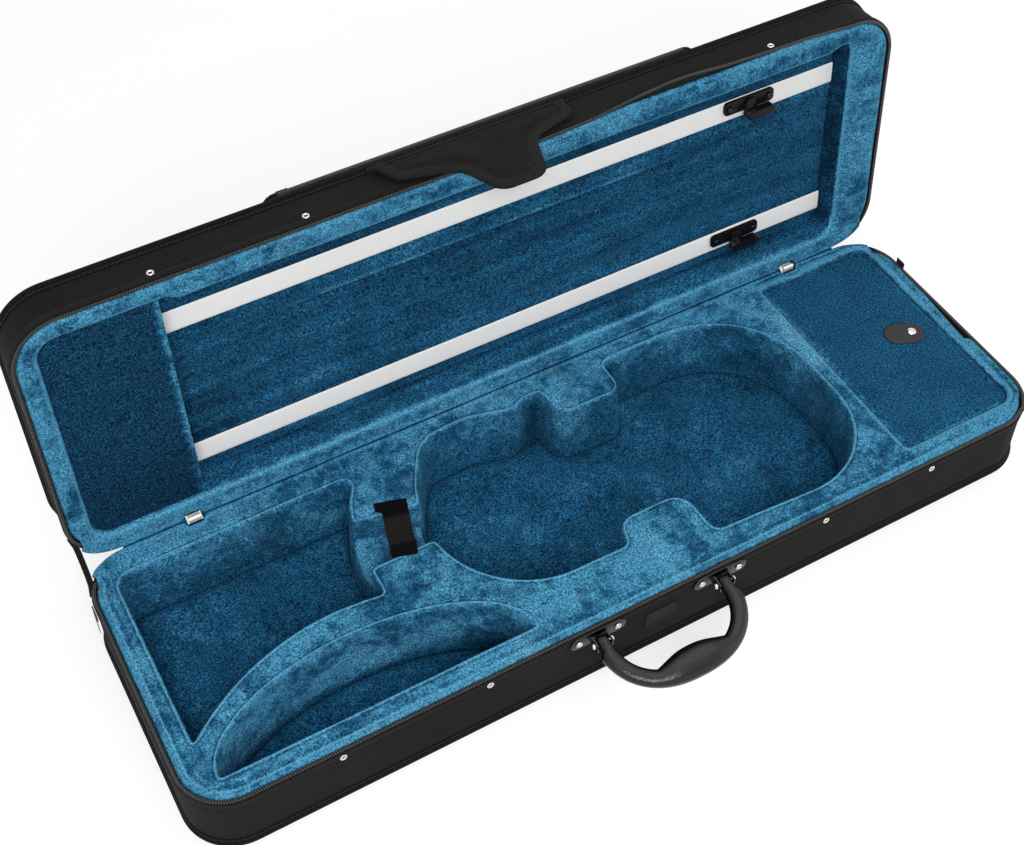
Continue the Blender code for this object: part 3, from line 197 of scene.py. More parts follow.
def even(outline, step, soften=0.0):
    """Closed outline at even steps, its corners eased by a bell-shaped average of that width."""
    points = along(outline, step)[0]
    if soften > 0:
        reach = np.arange(-int(4 * soften / step) - 1, int(4 * soften / step) + 2)
        weights = np.exp(-0.5 * (reach * step / soften) ** 2)
        weights /= weights.sum()
        points = sum(w * np.roll(points, k, axis=0) for w, k in zip(weights, reach))
    return points


def eased(points, times=3, closed=False):
    """Polyline with its corners cut: each side is replaced by the points a quarter in from its ends."""
    points = np.array(points, float)
    for _ in range(times):
        after = np.roll(points, -1, axis=0)
        cut = np.stack([points * 0.75 + after * 0.25, points * 0.25 + after * 0.75], axis=1)
        if closed:
            points = cut.reshape(-1, points.shape[1])
        else:
            points = np.vstack([points[:1], cut[:-1].reshape(-1, points.shape[1]), points[-1:]])
    return points


def box_outline(left, right, front, rear, radius):
    """Rectangle in plan with equally rounded corners."""
    return rounded([(left, front, radius), (right, front, radius), (right, rear, radius), (left, rear, radius)])


def shell_outline(inset=0.0):
    """Plan of the shell moved inward: a rounded rectangle."""
    x, y = HALF_LENGTH - inset, HALF_WIDTH - inset
    return box_outline(-x, x, -y, y, CORNER - inset)


def zip_path(rear=0.0825):
    """Shell outline without its rear side: from the rear left by the front to the rear right."""
    outline = even(shell_outline(), 0.002)
    kept = outline[:, 1] < rear
    start = int(np.flatnonzero(kept & ~np.roll(kept, 1))[0])
    return np.roll(outline, -start, axis=0)[: int(kept.sum())]


def opened(points):
    """Closed lid to open lid: points turned back about the hinge's axis by the opening angle."""
    y, z = points[:, 1] - HINGE_Y, points[:, 2] - HINGE_Z
    c, s = math.cos(LID_OPEN), math.sin(LID_OPEN)
    return np.stack([points[:, 0], HINGE_Y + c * y + s * z, HINGE_Z - s * y + c * z], axis=1)


def closed(points):
    """Open lid to closed lid: the turn of opened() the other way round."""
    y, z = points[:, 1] - HINGE_Y, points[:, 2] - HINGE_Z
    c, s = math.cos(LID_OPEN), math.sin(LID_OPEN)
    return np.stack([points[:, 0], HINGE_Y + c * y - s * z, HINGE_Z + s * y + c * z], axis=1)


def lid_place(points):
    """(x, y, depth behind the lid's rim) to the open lid."""
    return opened(points + np.array([0, 0, LID_RIM]))


def front_place(points):
    """(x, z, distance out from the middle plane) to the front wall."""
    return np.stack([points[:, 0], -points[:, 2], points[:, 1]], axis=1)


def handle_place(points):
    """Points about the handle's axis, turned down by its droop, to where the handle hangs."""
    c, s = math.cos(HANDLE_DROOP), math.sin(HANDLE_DROOP)
    y, z = points[:, 1], points[:, 2]
    return np.stack([points[:, 0], y * c - z * s, y * s + z * c], axis=1) + np.array(HANDLE)


def smooth(value):
    """Rise from 0 to 1 with level ends: 3 t^2 - 2 t^3."""
    t = np.clip(value, 0, 1)
    return t * t * (3 - 2 * t)


def part(points, faces, uv=None, tone=1.0):
    """Points, face arrays and what they carry: a map in metres and a tone from 0 to 1, which on plush is painted light
    from deep shade 0 to lit 1, and on the hook tape its own colour.
    """
    points = np.asarray(points, float)
    uv = points[:, :2] if uv is None else uv
    return {"points": points, "faces": faces, "uv": uv, "tone": np.broadcast_to(tone, len(points)).astype(float)}


def grid_part(grid, tone=1.0, keep=None):
    """Quads over a grid (rows, columns, 3); the map is the length along the columns and the rows."""
    rows, cols = grid.shape[:2]
    index = np.arange(rows * cols).reshape(rows, cols)
    quads = np.stack([index[:-1, :-1], index[:-1, 1:], index[1:, 1:], index[1:, :-1]], axis=2)
    quads = quads[keep] if keep is not None else quads.reshape(-1, 4)
    u = np.linalg.norm(np.diff(grid[rows // 2], axis=0), axis=1)
    v = np.linalg.norm(np.diff(grid, axis=0), axis=2).mean(axis=1)
    u, v = np.r_[0, np.cumsum(u)], np.r_[0, np.cumsum(v)]
    uv = np.stack(np.meshgrid(u, v), axis=2).reshape(-1, 2)
    tones = np.asarray(tone, float)
    tones = np.repeat(tones, cols) if tones.ndim == 1 else np.broadcast_to(tones, (rows, cols)).ravel()
    return part(grid.reshape(-1, 3), [quads], uv, tones)


def carry(outline, profile, closed=True, sway=None):
    """Profile of (outward offset, height) carried along an outline; sway adds an offset per row and place."""
    profile = np.asarray(profile, float)
    normal = directions(outline, closed)[1]
    offset = np.broadcast_to(profile[:, :1], (len(profile), len(outline)))
    offset = offset if sway is None else offset + sway
    plan = outline[None] + normal[None] * offset[:, :, None]
    height = np.broadcast_to(profile[:, 1][:, None, None], plan.shape[:2] + (1,))
    grid = np.concatenate([plan, height], axis=2)
    return np.concatenate([grid, grid[:, :1]], axis=1) if closed else grid


def tube(outline, section, closed=True, sway=None):
    """Closed section carried along an outline, with ends where the path is open."""
    section = np.asarray(section, float)
    sway = None if sway is None else np.vstack([sway, sway[:1]])
    grid = carry(outline, np.vstack([section, section[:1]]), closed, sway)
    parts = [grid_part(grid)]
    if not closed:
        parts += [cap(grid[:-1, 0]), cap(grid[:-1, -1])]
    return parts


def cap(ring, tone=1.0):
    """One flat face over a ring of points."""
    return part(ring, [np.arange(len(ring))[None]], None, tone)


def within(points, loops):
    """True for points inside an odd number of loops: crossings of a ray along +X are counted."""
    inside = np.zeros(len(points), bool)
    for loop in loops:
        after = np.roll(loop, -1, axis=0)
        for start in range(0, len(points), 4000):
            x, y = points[start : start + 4000, 0:1], points[start : start + 4000, 1:2]
            spans = (loop[:, 1] > y) != (after[:, 1] > y)
            rise = np.where(after[:, 1] == loop[:, 1], 1e-12, after[:, 1] - loop[:, 1])
            meet = loop[:, 0] + (y - loop[:, 1]) * (after[:, 0] - loop[:, 0]) / rise
            inside[start : start + 4000] ^= (spans & (x < meet)).sum(axis=1) % 2 == 1
    return inside


def clear_of(points, loops, gap):
    """True for points at least a gap away from every loop's points."""
    edge = np.vstack(loops)
    free = np.ones(len(points), bool)
    for start in range(0, len(points), 2000):
        apart = points[start : start + 2000, None] - edge[None]
        free[start : start + 2000] = (apart**2).sum(axis=2).min(axis=1) > gap * gap
    return free


def fill(loops, spacing, height, tone=1.0, extra=None):
    """Sheet over the region between loops, the first its outer edge: triangles on a lattice, z = height(x, y)."""
    low, high = loops[0].min(axis=0), loops[0].max(axis=0)
    x, y = np.meshgrid(np.arange(low[0], high[0], spacing), np.arange(low[1], high[1], spacing * 0.87))
    x = x + (np.arange(len(x)) % 2)[:, None] * spacing / 2
    lattice = np.stack([x.ravel(), y.ravel()], axis=1)
    if extra is not None:
        lattice = np.vstack([lattice[clear_of(lattice, [extra], spacing * 0.4)], extra])
    lattice = lattice[within(lattice, loops)]
    lattice = lattice[clear_of(lattice, loops, spacing * 0.45)]
    firsts = np.cumsum([0] + [len(loop) for loop in loops])
    edges = [(a + i, a + (i + 1) % (b - a)) for a, b in zip(firsts, firsts[1:]) for i in range(b - a)]
    scale = 1000.0
    flat = [Vector(p) for p in (np.vstack([*loops, lattice]) * scale).tolist()]
    made = delaunay_2d_cdt(flat, edges, [], 0, 1e-4)
    points = np.array([tuple(p) for p in made[0]]) / scale
    faces = np.array([tuple(f) for f in made[2]])
    faces = faces[within(points[faces].mean(axis=1), loops)]
    level = np.broadcast_to(height(points[:, 0], points[:, 1]), len(points))
    shade = tone(points[:, 0], points[:, 1]) if callable(tone) else tone
    return part(np.column_stack([points, level]), [faces], points, shade)


def ribs(path, pitch, centre, away, closed=False, radius=0.00125, width=0.0005, slant=0.0005, flat=1.0):
    """Coil of a zip: thin ribs at even steps, each two thirds of a flattened ring round the coil's centre line."""
    points, run, normal = along(path, pitch, closed)
    turn = np.radians(np.linspace(-40, 220, 7))
    ring = np.stack([np.cos(turn), np.sin(turn)], axis=1)
    corners = [(radius, -width), (radius, width), (radius * 0.45, width), (radius * 0.45, -width)]
    rib = []
    for reach, side in corners:
        out = centre[0] + ring[:, 0] * reach
        up = centre[1] + away * ring[:, 1] * reach * flat
        shift = side + slant * ring[:, 0]
        plan = points[:, None] + normal[:, None] * out[None, :, None] + run[:, None] * shift[None, :, None]
        rib.append(np.concatenate([plan, np.broadcast_to(up[None, :, None], plan.shape[:2] + (1,))], axis=2))
    rib = np.stack(rib, axis=2)
    steps = len(turn)
    base = np.arange(steps * 4).reshape(steps, 4)
    side = np.roll(base, -1, axis=1)
    quads = np.stack([base[:-1], side[:-1], side[1:], base[1:]], axis=2).reshape(-1, 4)
    quads = np.vstack([quads, base[0][None, ::-1], base[-1][None]])
    quads = (quads[None] + (np.arange(len(points)) * steps * 4)[:, None, None]).reshape(-1, 4)
    return part(rib.reshape(-1, 3), [quads])


def stitches(track, normal, pitch=0.0042, length=0.0030, radius=0.00034):
    """Row of sewn stitches on a surface: short capsules at even steps along a line of points in space."""
    span = np.r_[0, np.cumsum(np.linalg.norm(np.diff(track, axis=0), axis=1))]
    at = np.arange(pitch / 2, span[-1], pitch)
    middle = np.stack([np.interp(at, span, track[:, k]) for k in range(3)], axis=1)
    ahead = np.stack([np.interp(at + 0.0005, span, track[:, k]) for k in range(3)], axis=1)
    behind = np.stack([np.interp(at - 0.0005, span, track[:, k]) for k in range(3)], axis=1)
    run = (ahead - behind) / np.linalg.norm(ahead - behind, axis=1)[:, None]
    up = np.stack([np.interp(at, span, np.broadcast_to(normal, track.shape)[:, k]) for k in range(3)], axis=1)
    across = np.cross(run, up)
    stations = np.array([-0.5, -0.36, 0.36, 0.5]) * length
    swell = np.array([0.25, 1.0, 1.0, 0.25]) * radius
    turn = np.radians(np.arange(5) * 72)
    spoke = across[:, None] * np.cos(turn)[None, :, None] + up[:, None] * np.sin(turn)[None, :, None]
    grid = middle[:, None, None] + run[:, None, None] * stations[None, :, None, None]
    grid = grid + spoke[:, None] * swell[None, :, None, None]
    index = np.arange(20).reshape(4, 5)
    beside = np.roll(index, -1, axis=1)
    quads = np.stack([index[:-1], beside[:-1], beside[1:], index[1:]], axis=2).reshape(-1, 4)
    ends = np.stack([index[0][::-1], index[-1]])
    shift = (np.arange(len(middle)) * 20)[:, None, None]
    faces = [(quads[None] + shift).reshape(-1, 4), (ends[None] + shift).reshape(-1, 5)]
    return part(grid.reshape(-1, 3), faces)


def turned(profile, centres, direction, sides=28):
    """Profile of (radius, distance along direction) revolved about each centre, closed at both ends."""
    axis = np.array(direction, float)
    axis = axis / np.linalg.norm(axis)
    across = np.cross(axis, [0, 0, 1] if abs(axis[2]) < 0.9 else [1, 0, 0])
    across = across / np.linalg.norm(across)
    beside = np.cross(axis, across)
    turn = np.linspace(0, 2 * math.pi, sides + 1)
    spoke = across * np.cos(turn)[:, None] + beside * np.sin(turn)[:, None]
    profile = np.asarray(profile, float)
    ring = spoke[None] * profile[:, 0][:, None, None] + axis * profile[:, 1][:, None, None]
    parts = []
    for centre in np.atleast_2d(centres):
        grid = ring + centre
        parts += [grid_part(grid), cap(grid[0, :-1]), cap(grid[-1, :-1])]
    return parts


def build(name, parts, finish, place=None, sharp=None, weld=1e-5):
    """One mesh object of all the parts, welded where they meet, with its map, tone (painted light on plush, the tape's
    own colour on the hook tape) and outward faces.
    """
    starts = np.cumsum([0] + [len(p["points"]) for p in parts])
    points = np.vstack([p["points"] for p in parts])
    points = place(points) if place else points
    groups = [face + start for p, start in zip(parts, starts) for face in p["faces"] if len(face)]
    corner = np.concatenate([g.ravel() for g in groups]).astype(np.int32)
    size = np.concatenate([np.full(len(g), g.shape[1]) for g in groups])
    mesh = bpy.data.meshes.new(name)
    mesh.vertices.add(len(points))
    mesh.vertices.foreach_set("co", points.astype(np.float32).ravel())
    mesh.loops.add(len(corner))
    mesh.loops.foreach_set("vertex_index", corner)
    mesh.polygons.add(len(size))
    mesh.polygons.foreach_set("loop_start", np.r_[0, np.cumsum(size)[:-1]].astype(np.int32))
    mesh.update(calc_edges=True)
    uv = np.vstack([p["uv"] for p in parts])[corner]
    mesh.uv_layers.new(name="UVMap").data.foreach_set("uv", uv.astype(np.float32).ravel())
    tone = np.concatenate([p["tone"] for p in parts]).astype(np.float32)
    # The tone attribute: painted light and shade on plush pieces, own colour on the hook tape.
    mesh.attributes.new("tone", "FLOAT", "POINT").data.foreach_set("value", tone)
    work = bmesh.new()
    work.from_mesh(mesh)
    if weld:
        bmesh.ops.remove_doubles(work, verts=work.verts, dist=weld)
    bmesh.ops.recalc_face_normals(work, faces=work.faces)
    work.to_mesh(mesh)
    work.free()
    mesh.shade_smooth()
    if sharp:
        mesh.set_sharp_from_angle(angle=math.radians(sharp))
    obj = bpy.data.objects.new(name, mesh)
    bpy.context.scene.collection.objects.link(obj)
    obj.data.materials.append(finish)
    return obj


def seat(obj, body, nodes=()):
    """Hangs a piece on its body, in place of the frame's own nodes."""
    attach(obj, body)
    if nodes:
        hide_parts(*nodes)
    return obj


def refined(node, finish, bevel, sharp=35):
    """Copy of a frame node with its triangles merged, its edges eased and its finish laid on."""
    source = frame["nodes"][node]
    work = bmesh.new()
    work.from_mesh(source.data)
    bmesh.ops.remove_doubles(work, verts=work.verts, dist=1e-5)
    bmesh.ops.dissolve_limit(work, angle_limit=math.radians(1.5), verts=work.verts, edges=work.edges)
    edges = [e for e in work.edges if len(e.link_faces) == 2 and e.calc_face_angle() > math.radians(sharp)]
    bmesh.ops.bevel(work, geom=edges, offset=bevel, segments=2, profile=0.6, affect="EDGES", clamp_overlap=True)
    bmesh.ops.triangulate(work, faces=[f for f in work.faces if len(f.verts) > 4])
    mesh = bpy.data.meshes.new(node + "_finished")
    work.to_mesh(mesh)
    work.free()
    mesh.shade_smooth()
    mesh.set_sharp_from_angle(angle=math.radians(sharp))
    obj = bpy.data.objects.new(node + "_finished", mesh)
    bpy.context.scene.collection.objects.link(obj)
    mesh.materials.clear()
    mesh.materials.append(finish)
    return seat(obj, source["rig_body"], [node])


def reshape(obj, change):
    """Moves all points of a piece: change takes and gives an array of places."""
    points = np.empty(len(obj.data.vertices) * 3)
    obj.data.vertices.foreach_get("co", points)
    obj.data.vertices.foreach_set("co", change(points.reshape(-1, 3)).ravel())
    obj.data.update()
    return obj


class Nodes:
    """Short hand for laying shader nodes in a tree."""

    def __init__(self, tree):
        self.tree = tree

    def add(self, kind, **settings):
        node = self.tree.nodes.new("ShaderNode" + kind)
        for key, value in settings.items():
            setattr(node, key, value)
        return node

    def put(self, socket, value):
        if isinstance(value, bpy.types.NodeSocket):
            self.tree.links.new(value, socket)
        else:
            socket.default_value = value

    def math(self, operation, a, b=0.0, clamp=False):
        node = self.add("Math", operation=operation, use_clamp=clamp)
        self.put(node.inputs[0], a)
        self.put(node.inputs[1], b)
        return node.outputs[0]

    def mix(self, factor, a, b, blend="MIX"):
        node = self.add("Mix", data_type="RGBA", blend_type=blend)
        for socket, value in zip((node.inputs[0], node.inputs[6], node.inputs[7]), (factor, a, b)):
            self.put(socket, value)
        return node.outputs[2]

    def noise(self, vector, scale, detail=2.0, roughness=0.5, distortion=0.0):
        node = self.add("TexNoise")
        self.put(node.inputs["Vector"], vector)
        for key, value in (("Scale", scale), ("Detail", detail), ("Roughness", roughness), ("Distortion", distortion)):
            self.put(node.inputs[key], value)
        return node.outputs["Fac"]

    def scaled(self, vector, scale):
        node = self.add("VectorMath", operation="MULTIPLY")
        self.put(node.inputs[0], vector)
        node.inputs[1].default_value = scale
        return node.outputs[0]

    def grey(self, value):
        """A number as a grey colour."""
        node = self.add("CombineColor")
        for socket in node.inputs:
            self.put(socket, value)
        return node.outputs[0]

    def swing(self, value, amount):
        """Value about its middle: (value - 0.5) * amount."""
        return self.math("MULTIPLY", self.math("SUBTRACT", value, 0.5), amount)


def node_group(name, inputs, outputs):
    """Empty shader node group with named sockets."""
    tree = bpy.data.node_groups.new(name, "ShaderNodeTree")
    kinds = {"float": "NodeSocketFloat", "color": "NodeSocketColor", "vector": "NodeSocketVector"}
    for label, kind, value in inputs:
        socket = tree.interface.new_socket(name=label, in_out="INPUT", socket_type=kinds[kind])
        if value is not None:
            socket.default_value = value
    for label, kind in outputs:
        tree.interface.new_socket(name=label, in_out="OUTPUT", socket_type=kinds[kind])
    given = tree.nodes.new("NodeGroupInput").outputs
    return Nodes(tree), (given, tree.nodes.new("NodeGroupOutput").inputs)


def plush_group():
    """Brushed nap with painted light: its tone input is painted light, 1 where lit and 0 in deep shade, random clouds
    and lengthwise streaks vary it, pale patches on lit parts are painted sheen, tones above 1.05 paint a pale highlight
    on beads, and fine specks catch the light.
    """
    n, (given, out) = node_group(
        "Plush Nap",
        [
            ("Vector", "vector", None),
            ("Tone", "float", 1.0),
            ("Light", "color", None),
            ("Middle", "color", None),
            ("Deep", "color", None),
            ("Streaks", "float", 0.0),
            ("Mottle", "float", 1.0),
            ("Nap Size", "float", 1.0),
        ],
        [("Color", "color"), ("Height", "float")],
    )
    vector = given["Vector"]
    size = given["Nap Size"]
    cloud = n.noise(vector, n.math("MULTIPLY", 21.0, size), 4.0, 0.6, 0.4)
    patch = n.noise(vector, n.math("MULTIPLY", 105.0, size), 3.0, 0.65, 0.6)
    speck = n.noise(vector, n.math("MULTIPLY", 640.0, size), 2.0, 0.75)
    streak = n.noise(n.scaled(vector, (5.0, 62.0, 62.0)), 1.0, 3.0, 0.55, 0.6)
    drift = n.math("ADD", n.swing(cloud, 2.4), n.swing(patch, 1.7))
    share = n.math("ADD", n.math("MULTIPLY", given["Tone"], 1.45), -0.14, clamp=True)
    drift = n.math("MULTIPLY", drift, n.math("MULTIPLY", share, given["Mottle"]))
    tone = n.math("ADD", given["Tone"], drift)
    tone = n.math("ADD", tone, n.math("MULTIPLY", n.swing(streak, 1.5), given["Streaks"]))
    # Painted light: the tone picks the deep-shade, half-shade or lit colour of the one plush.
    low = n.math("MULTIPLY", tone, 2.0, clamp=True)
    high = n.math("SUBTRACT", n.math("MULTIPLY", tone, 2.0), 1.0, clamp=True)
    colour = n.mix(high, n.mix(low, given["Deep"], given["Middle"]), given["Light"])
    # Pale patches on the lit parts: painted sheen of the nap.
    sheen_patches = n.noise(vector, n.math("MULTIPLY", 13.0, size), 3.0, 0.55, 0.8)
    sheen_patches = n.math("MULTIPLY", n.math("SUBTRACT", sheen_patches, 0.60), 5.0, clamp=True)
    lit_share = n.math("MULTIPLY", n.math("SUBTRACT", share, 0.50), 2.0, clamp=True)
    sheen_patches = n.math("MULTIPLY", n.math("MULTIPLY", sheen_patches, lit_share), n.math("MULTIPLY", given["Mottle"], 0.65))
    # Tones above 1.05 paint a thin pale highlight on beaded edges.
    raised = n.math("MULTIPLY", n.math("SUBTRACT", given["Tone"], 1.05), 2.2, clamp=True)
    pale = n.mix(0.30, given["Light"], (0.36, 0.72, 0.86, 1.0))
    colour = n.mix(n.math("MAXIMUM", sheen_patches, raised), colour, pale)
    strength = n.math("SUBTRACT", 6.4, n.math("MULTIPLY", given["Tone"], 3.6))
    grain = n.math("MAXIMUM", n.math("ADD", 1.0, n.swing(speck, strength)), 0.2)
    grain = n.math("MULTIPLY", n.math("POWER", grain, 1.45), 0.93)
    n.put(out["Color"], n.mix(1.0, colour, n.grey(grain), "MULTIPLY"))
    height = n.math("ADD", n.math("MULTIPLY", speck, 0.4), n.math("MULTIPLY", patch, 0.7))
    n.put(out["Height"], n.math("ADD", height, n.math("MULTIPLY", cloud, 1.3)))
    return n.tree


def weave_group():
    """Plain weave on a map in metres: warp lies on top in every other square, weft in the rest."""
    n, (given, out) = node_group(
        "Plain Weave", [("Vector", "vector", None), ("Pitch", "float", 0.0008)], [("Height", "float")]
    )
    split = n.add("SeparateXYZ")
    n.put(split.inputs[0], given["Vector"])
    turn = n.math("DIVIDE", math.pi, given["Pitch"])
    warp = n.math("SINE", n.math("MULTIPLY", split.outputs[0], turn))
    weft = n.math("SINE", n.math("MULTIPLY", split.outputs[1], turn))
    over = n.math("GREATER_THAN", n.math("MULTIPLY", warp, weft), 0.0)
    up = n.math("MULTIPLY", n.math("ABSOLUTE", warp), over)
    down = n.math("MULTIPLY", n.math("ABSOLUTE", weft), n.math("SUBTRACT", 1.0, over))
    n.put(out["Height"], n.math("ADD", up, down))
    return n.tree


def rib_group():
    """Slanted ribs of a woven ribbon on a map in metres: |sin| of the length plus a share of the width."""
    n, (given, out) = node_group(
        "Ribbon Ribs",
        [("Vector", "vector", None), ("Pitch", "float", 0.0015), ("Slant", "float", 0.4)],
        [("Height", "float")],
    )
    split = n.add("SeparateXYZ")
    n.put(split.inputs[0], given["Vector"])
    lean = n.math("ADD", split.outputs[0], n.math("MULTIPLY", split.outputs[1], given["Slant"]))
    wave = n.math("ABSOLUTE", n.math("SINE", n.math("MULTIPLY", lean, n.math("DIVIDE", math.pi, given["Pitch"]))))
    cross = n.math("SINE", n.math("MULTIPLY", split.outputs[1], n.math("DIVIDE", 2 * math.pi, 0.0011)))
    n.put(out["Height"], n.math("ADD", wave, n.math("MULTIPLY", cross, 0.25)))
    return n.tree


def grain_group():
    """Moulded leather grain: rounded cells of two sizes."""
    n, (given, out) = node_group(
        "Moulded Grain", [("Vector", "vector", None), ("Scale", "float", 700.0)], [("Height", "float")]
    )
    cells = n.add("TexVoronoi", feature="SMOOTH_F1")
    n.put(cells.inputs["Vector"], given["Vector"])
    n.put(cells.inputs["Scale"], given["Scale"])
    fine = n.noise(given["Vector"], n.math("MULTIPLY", given["Scale"], 1.7), 2.0)
    n.put(out["Height"], n.math("ADD", n.math("MULTIPLY", cells.outputs["Distance"], -1.0), n.math("MULTIPLY", fine, 0.4)))
    return n.tree


def wear_group():
    """Handling marks: soft blotches crossed by fine scratches."""
    n, (given, out) = node_group(
        "Handling Wear", [("Vector", "vector", None), ("Scale", "float", 60.0)], [("Mask", "float")]
    )
    blotch = n.noise(given["Vector"], given["Scale"], 4.0, 0.6)
    scratch = n.noise(n.scaled(given["Vector"], (9.0, 1.0, 1.0)), n.math("MULTIPLY", given["Scale"], 6.0), 2.0)
    n.put(out["Mask"], n.math("ADD", n.math("MULTIPLY", blotch, 0.7), n.math("MULTIPLY", scratch, 0.3)))
    return n.tree


def group_node(n, tree, **values):
    """A node group placed in a material with its own values."""
    node = n.tree.nodes.new("ShaderNodeGroup")
    node.node_tree = bpy.data.node_groups[tree]
    for key, value in values.items():
        n.put(node.inputs[key.replace("_", " ")], value)
    return node.outputs


def new_finish(name, **constants):
    """Material with a Principled shader whose constant sockets are set: (nodes, shader)."""
    material = bpy.data.materials.new(name)
    material.use_nodes = True
    shader = material.node_tree.nodes["Principled BSDF"]
    for key, value in constants.items():
        shader.inputs[key.replace("_", " ")].default_value = value
    return material, Nodes(material.node_tree), shader


def bump(n, shader, height, distance, strength=1.0):
    """Bump node from a height to the shader's normal."""
    node = n.add("Bump")
    node.inputs["Strength"].default_value = strength
    node.inputs["Distance"].default_value = distance
    n.put(node.inputs["Height"], height)
    n.put(shader.inputs["Normal"], node.outputs[0])


def plush_finish(name, light, middle, deep, streaks=0.0, mottle=1.0):
    """Velvet plush in three tones: lit, half-shaded and deeply shaded colours of one plush, picked by the tone
    attribute, which is painted light.
    """
    look = looks()
    material, n, shader = new_finish(name, Roughness=0.9, Sheen_Weight=0.10, Sheen_Roughness=0.5)
    shader.inputs["Specular IOR Level"].default_value = 0.06
    shader.inputs["Sheen Tint"].default_value = (0.20, 0.65, 1.0, 1.0)
    place = n.add("TexCoord").outputs["Object"]
    tone = n.add("Attribute", attribute_name="tone").outputs["Fac"]
    made = group_node(
        n, "Plush Nap", Vector=place, Tone=tone, Light=light, Middle=middle, Deep=deep, Streaks=streaks,
        Mottle=mottle, Nap_Size=look.nap_size,
    )
    n.put(shader.inputs["Base Color"], made["Color"])
    bump(n, shader, made["Height"], 0.0010, 0.9)
    return material


def cloth_finish(name, colour, pitch):
    """Black woven fabric with uneven dye, a faint bloom of dust, and painted shade between its threads."""
    material, n, shader = new_finish(name, Roughness=0.85, Sheen_Weight=0.03, Sheen_Roughness=0.5)
    shader.inputs["Specular IOR Level"].default_value = 0.08
    coords = n.add("TexCoord")
    weave = group_node(n, "Plain Weave", Vector=coords.outputs["UV"], Pitch=pitch)["Height"]
    drift = n.noise(coords.outputs["Object"], 14.0, 4.0, 0.6)
    fleck = n.noise(coords.outputs["Object"], 900.0, 1.0)
    # Painted shade between the threads: the weave's low parts are darker.
    shade = n.math("ADD", 0.55, n.math("MULTIPLY", weave, 0.5))
    shade = n.math("ADD", shade, n.swing(drift, 1.2))
    shade = n.math("MAXIMUM", n.math("ADD", shade, n.swing(fleck, 2.4)), 0.1)
    n.put(shader.inputs["Base Color"], n.mix(1.0, (*colour, 1.0), n.grey(shade), "MULTIPLY"))
    height = n.math("ADD", n.math("MULTIPLY", weave, 0.25), n.math("MULTIPLY", drift, 2.5))
    bump(n, shader, height, 0.0006, 0.7)
    return material


def ribbon_finish(name, colour, pitch, slant, depth=0.0005, rib_shading=0.9, fleck_share=1.8, gloss=0.15):
    """Ribbed woven ribbon: painted shade between its ribs, with flecks of thread."""
    material, n, shader = new_finish(name, Roughness=0.7, Sheen_Weight=0.03, Sheen_Roughness=0.4)
    shader.inputs["Specular IOR Level"].default_value = gloss
    coords = n.add("TexCoord")
    ribs_height = group_node(n, "Ribbon Ribs", Vector=coords.outputs["UV"], Pitch=pitch, Slant=slant)["Height"]
    fleck = n.noise(coords.outputs["Object"], 700.0, 2.0)
    # Painted shade: colour darkens between the ribs by the rib shading amount.
    shade = n.math("ADD", 1.0 - rib_shading * 0.64, n.math("MULTIPLY", ribs_height, rib_shading))
    shade = n.math("MAXIMUM", n.math("ADD", shade, n.swing(fleck, fleck_share)), 0.05)
    n.put(shader.inputs["Base Color"], n.mix(1.0, (*colour, 1.0), n.grey(shade), "MULTIPLY"))
    bump(n, shader, n.math("ADD", ribs_height, n.math("MULTIPLY", fleck, 0.4)), depth)
    return material


def hook_tape_finish():
    """Hook-and-loop strap: fuzzy grey-brown loops between black sewn ends."""
    material, n, shader = new_finish("Hook Tape", Roughness=0.9, Sheen_Weight=0.02)
    shader.inputs["Specular IOR Level"].default_value = 0.06
    coords = n.add("TexCoord")
    tone = n.add("Attribute", attribute_name="tone").outputs["Fac"]
    fuzz = n.noise(coords.outputs["Object"], 1100.0, 3.0, 0.8)
    colour = n.mix(tone, (0.002, 0.002, 0.002, 1.0), (0.017, 0.014, 0.013, 1.0))
    n.put(shader.inputs["Base Color"], n.mix(1.0, colour, n.grey(n.math("ADD", 0.3, fuzz)), "MULTIPLY"))
    bump(n, shader, fuzz, 0.0006)
    return material


def hard_finish(name, colour, roughness, metallic=0.0, grain=0.0, grain_scale=700.0, wear=0.15, **extra):
    """Moulded plastic, rubber or plated metal: roughness drifts with handling, with optional grain."""
    material, n, shader = new_finish(name, Metallic=metallic, **extra)
    place = n.add("TexCoord").outputs["Object"]
    mask = group_node(n, "Handling Wear", Vector=place, Scale=70.0)["Mask"]
    n.put(shader.inputs["Roughness"], n.math("ADD", roughness, n.swing(mask, wear), clamp=True))
    tint = n.math("ADD", 0.8, n.math("MULTIPLY", mask, 0.4))
    n.put(shader.inputs["Base Color"], n.mix(1.0, (*colour, 1.0), n.grey(tint), "MULTIPLY"))
    if grain:
        height = group_node(n, "Moulded Grain", Vector=place, Scale=grain_scale)["Height"]
        bump(n, shader, height, grain)
    else:
        bump(n, shader, mask, 0.00005, 0.5)
    return material


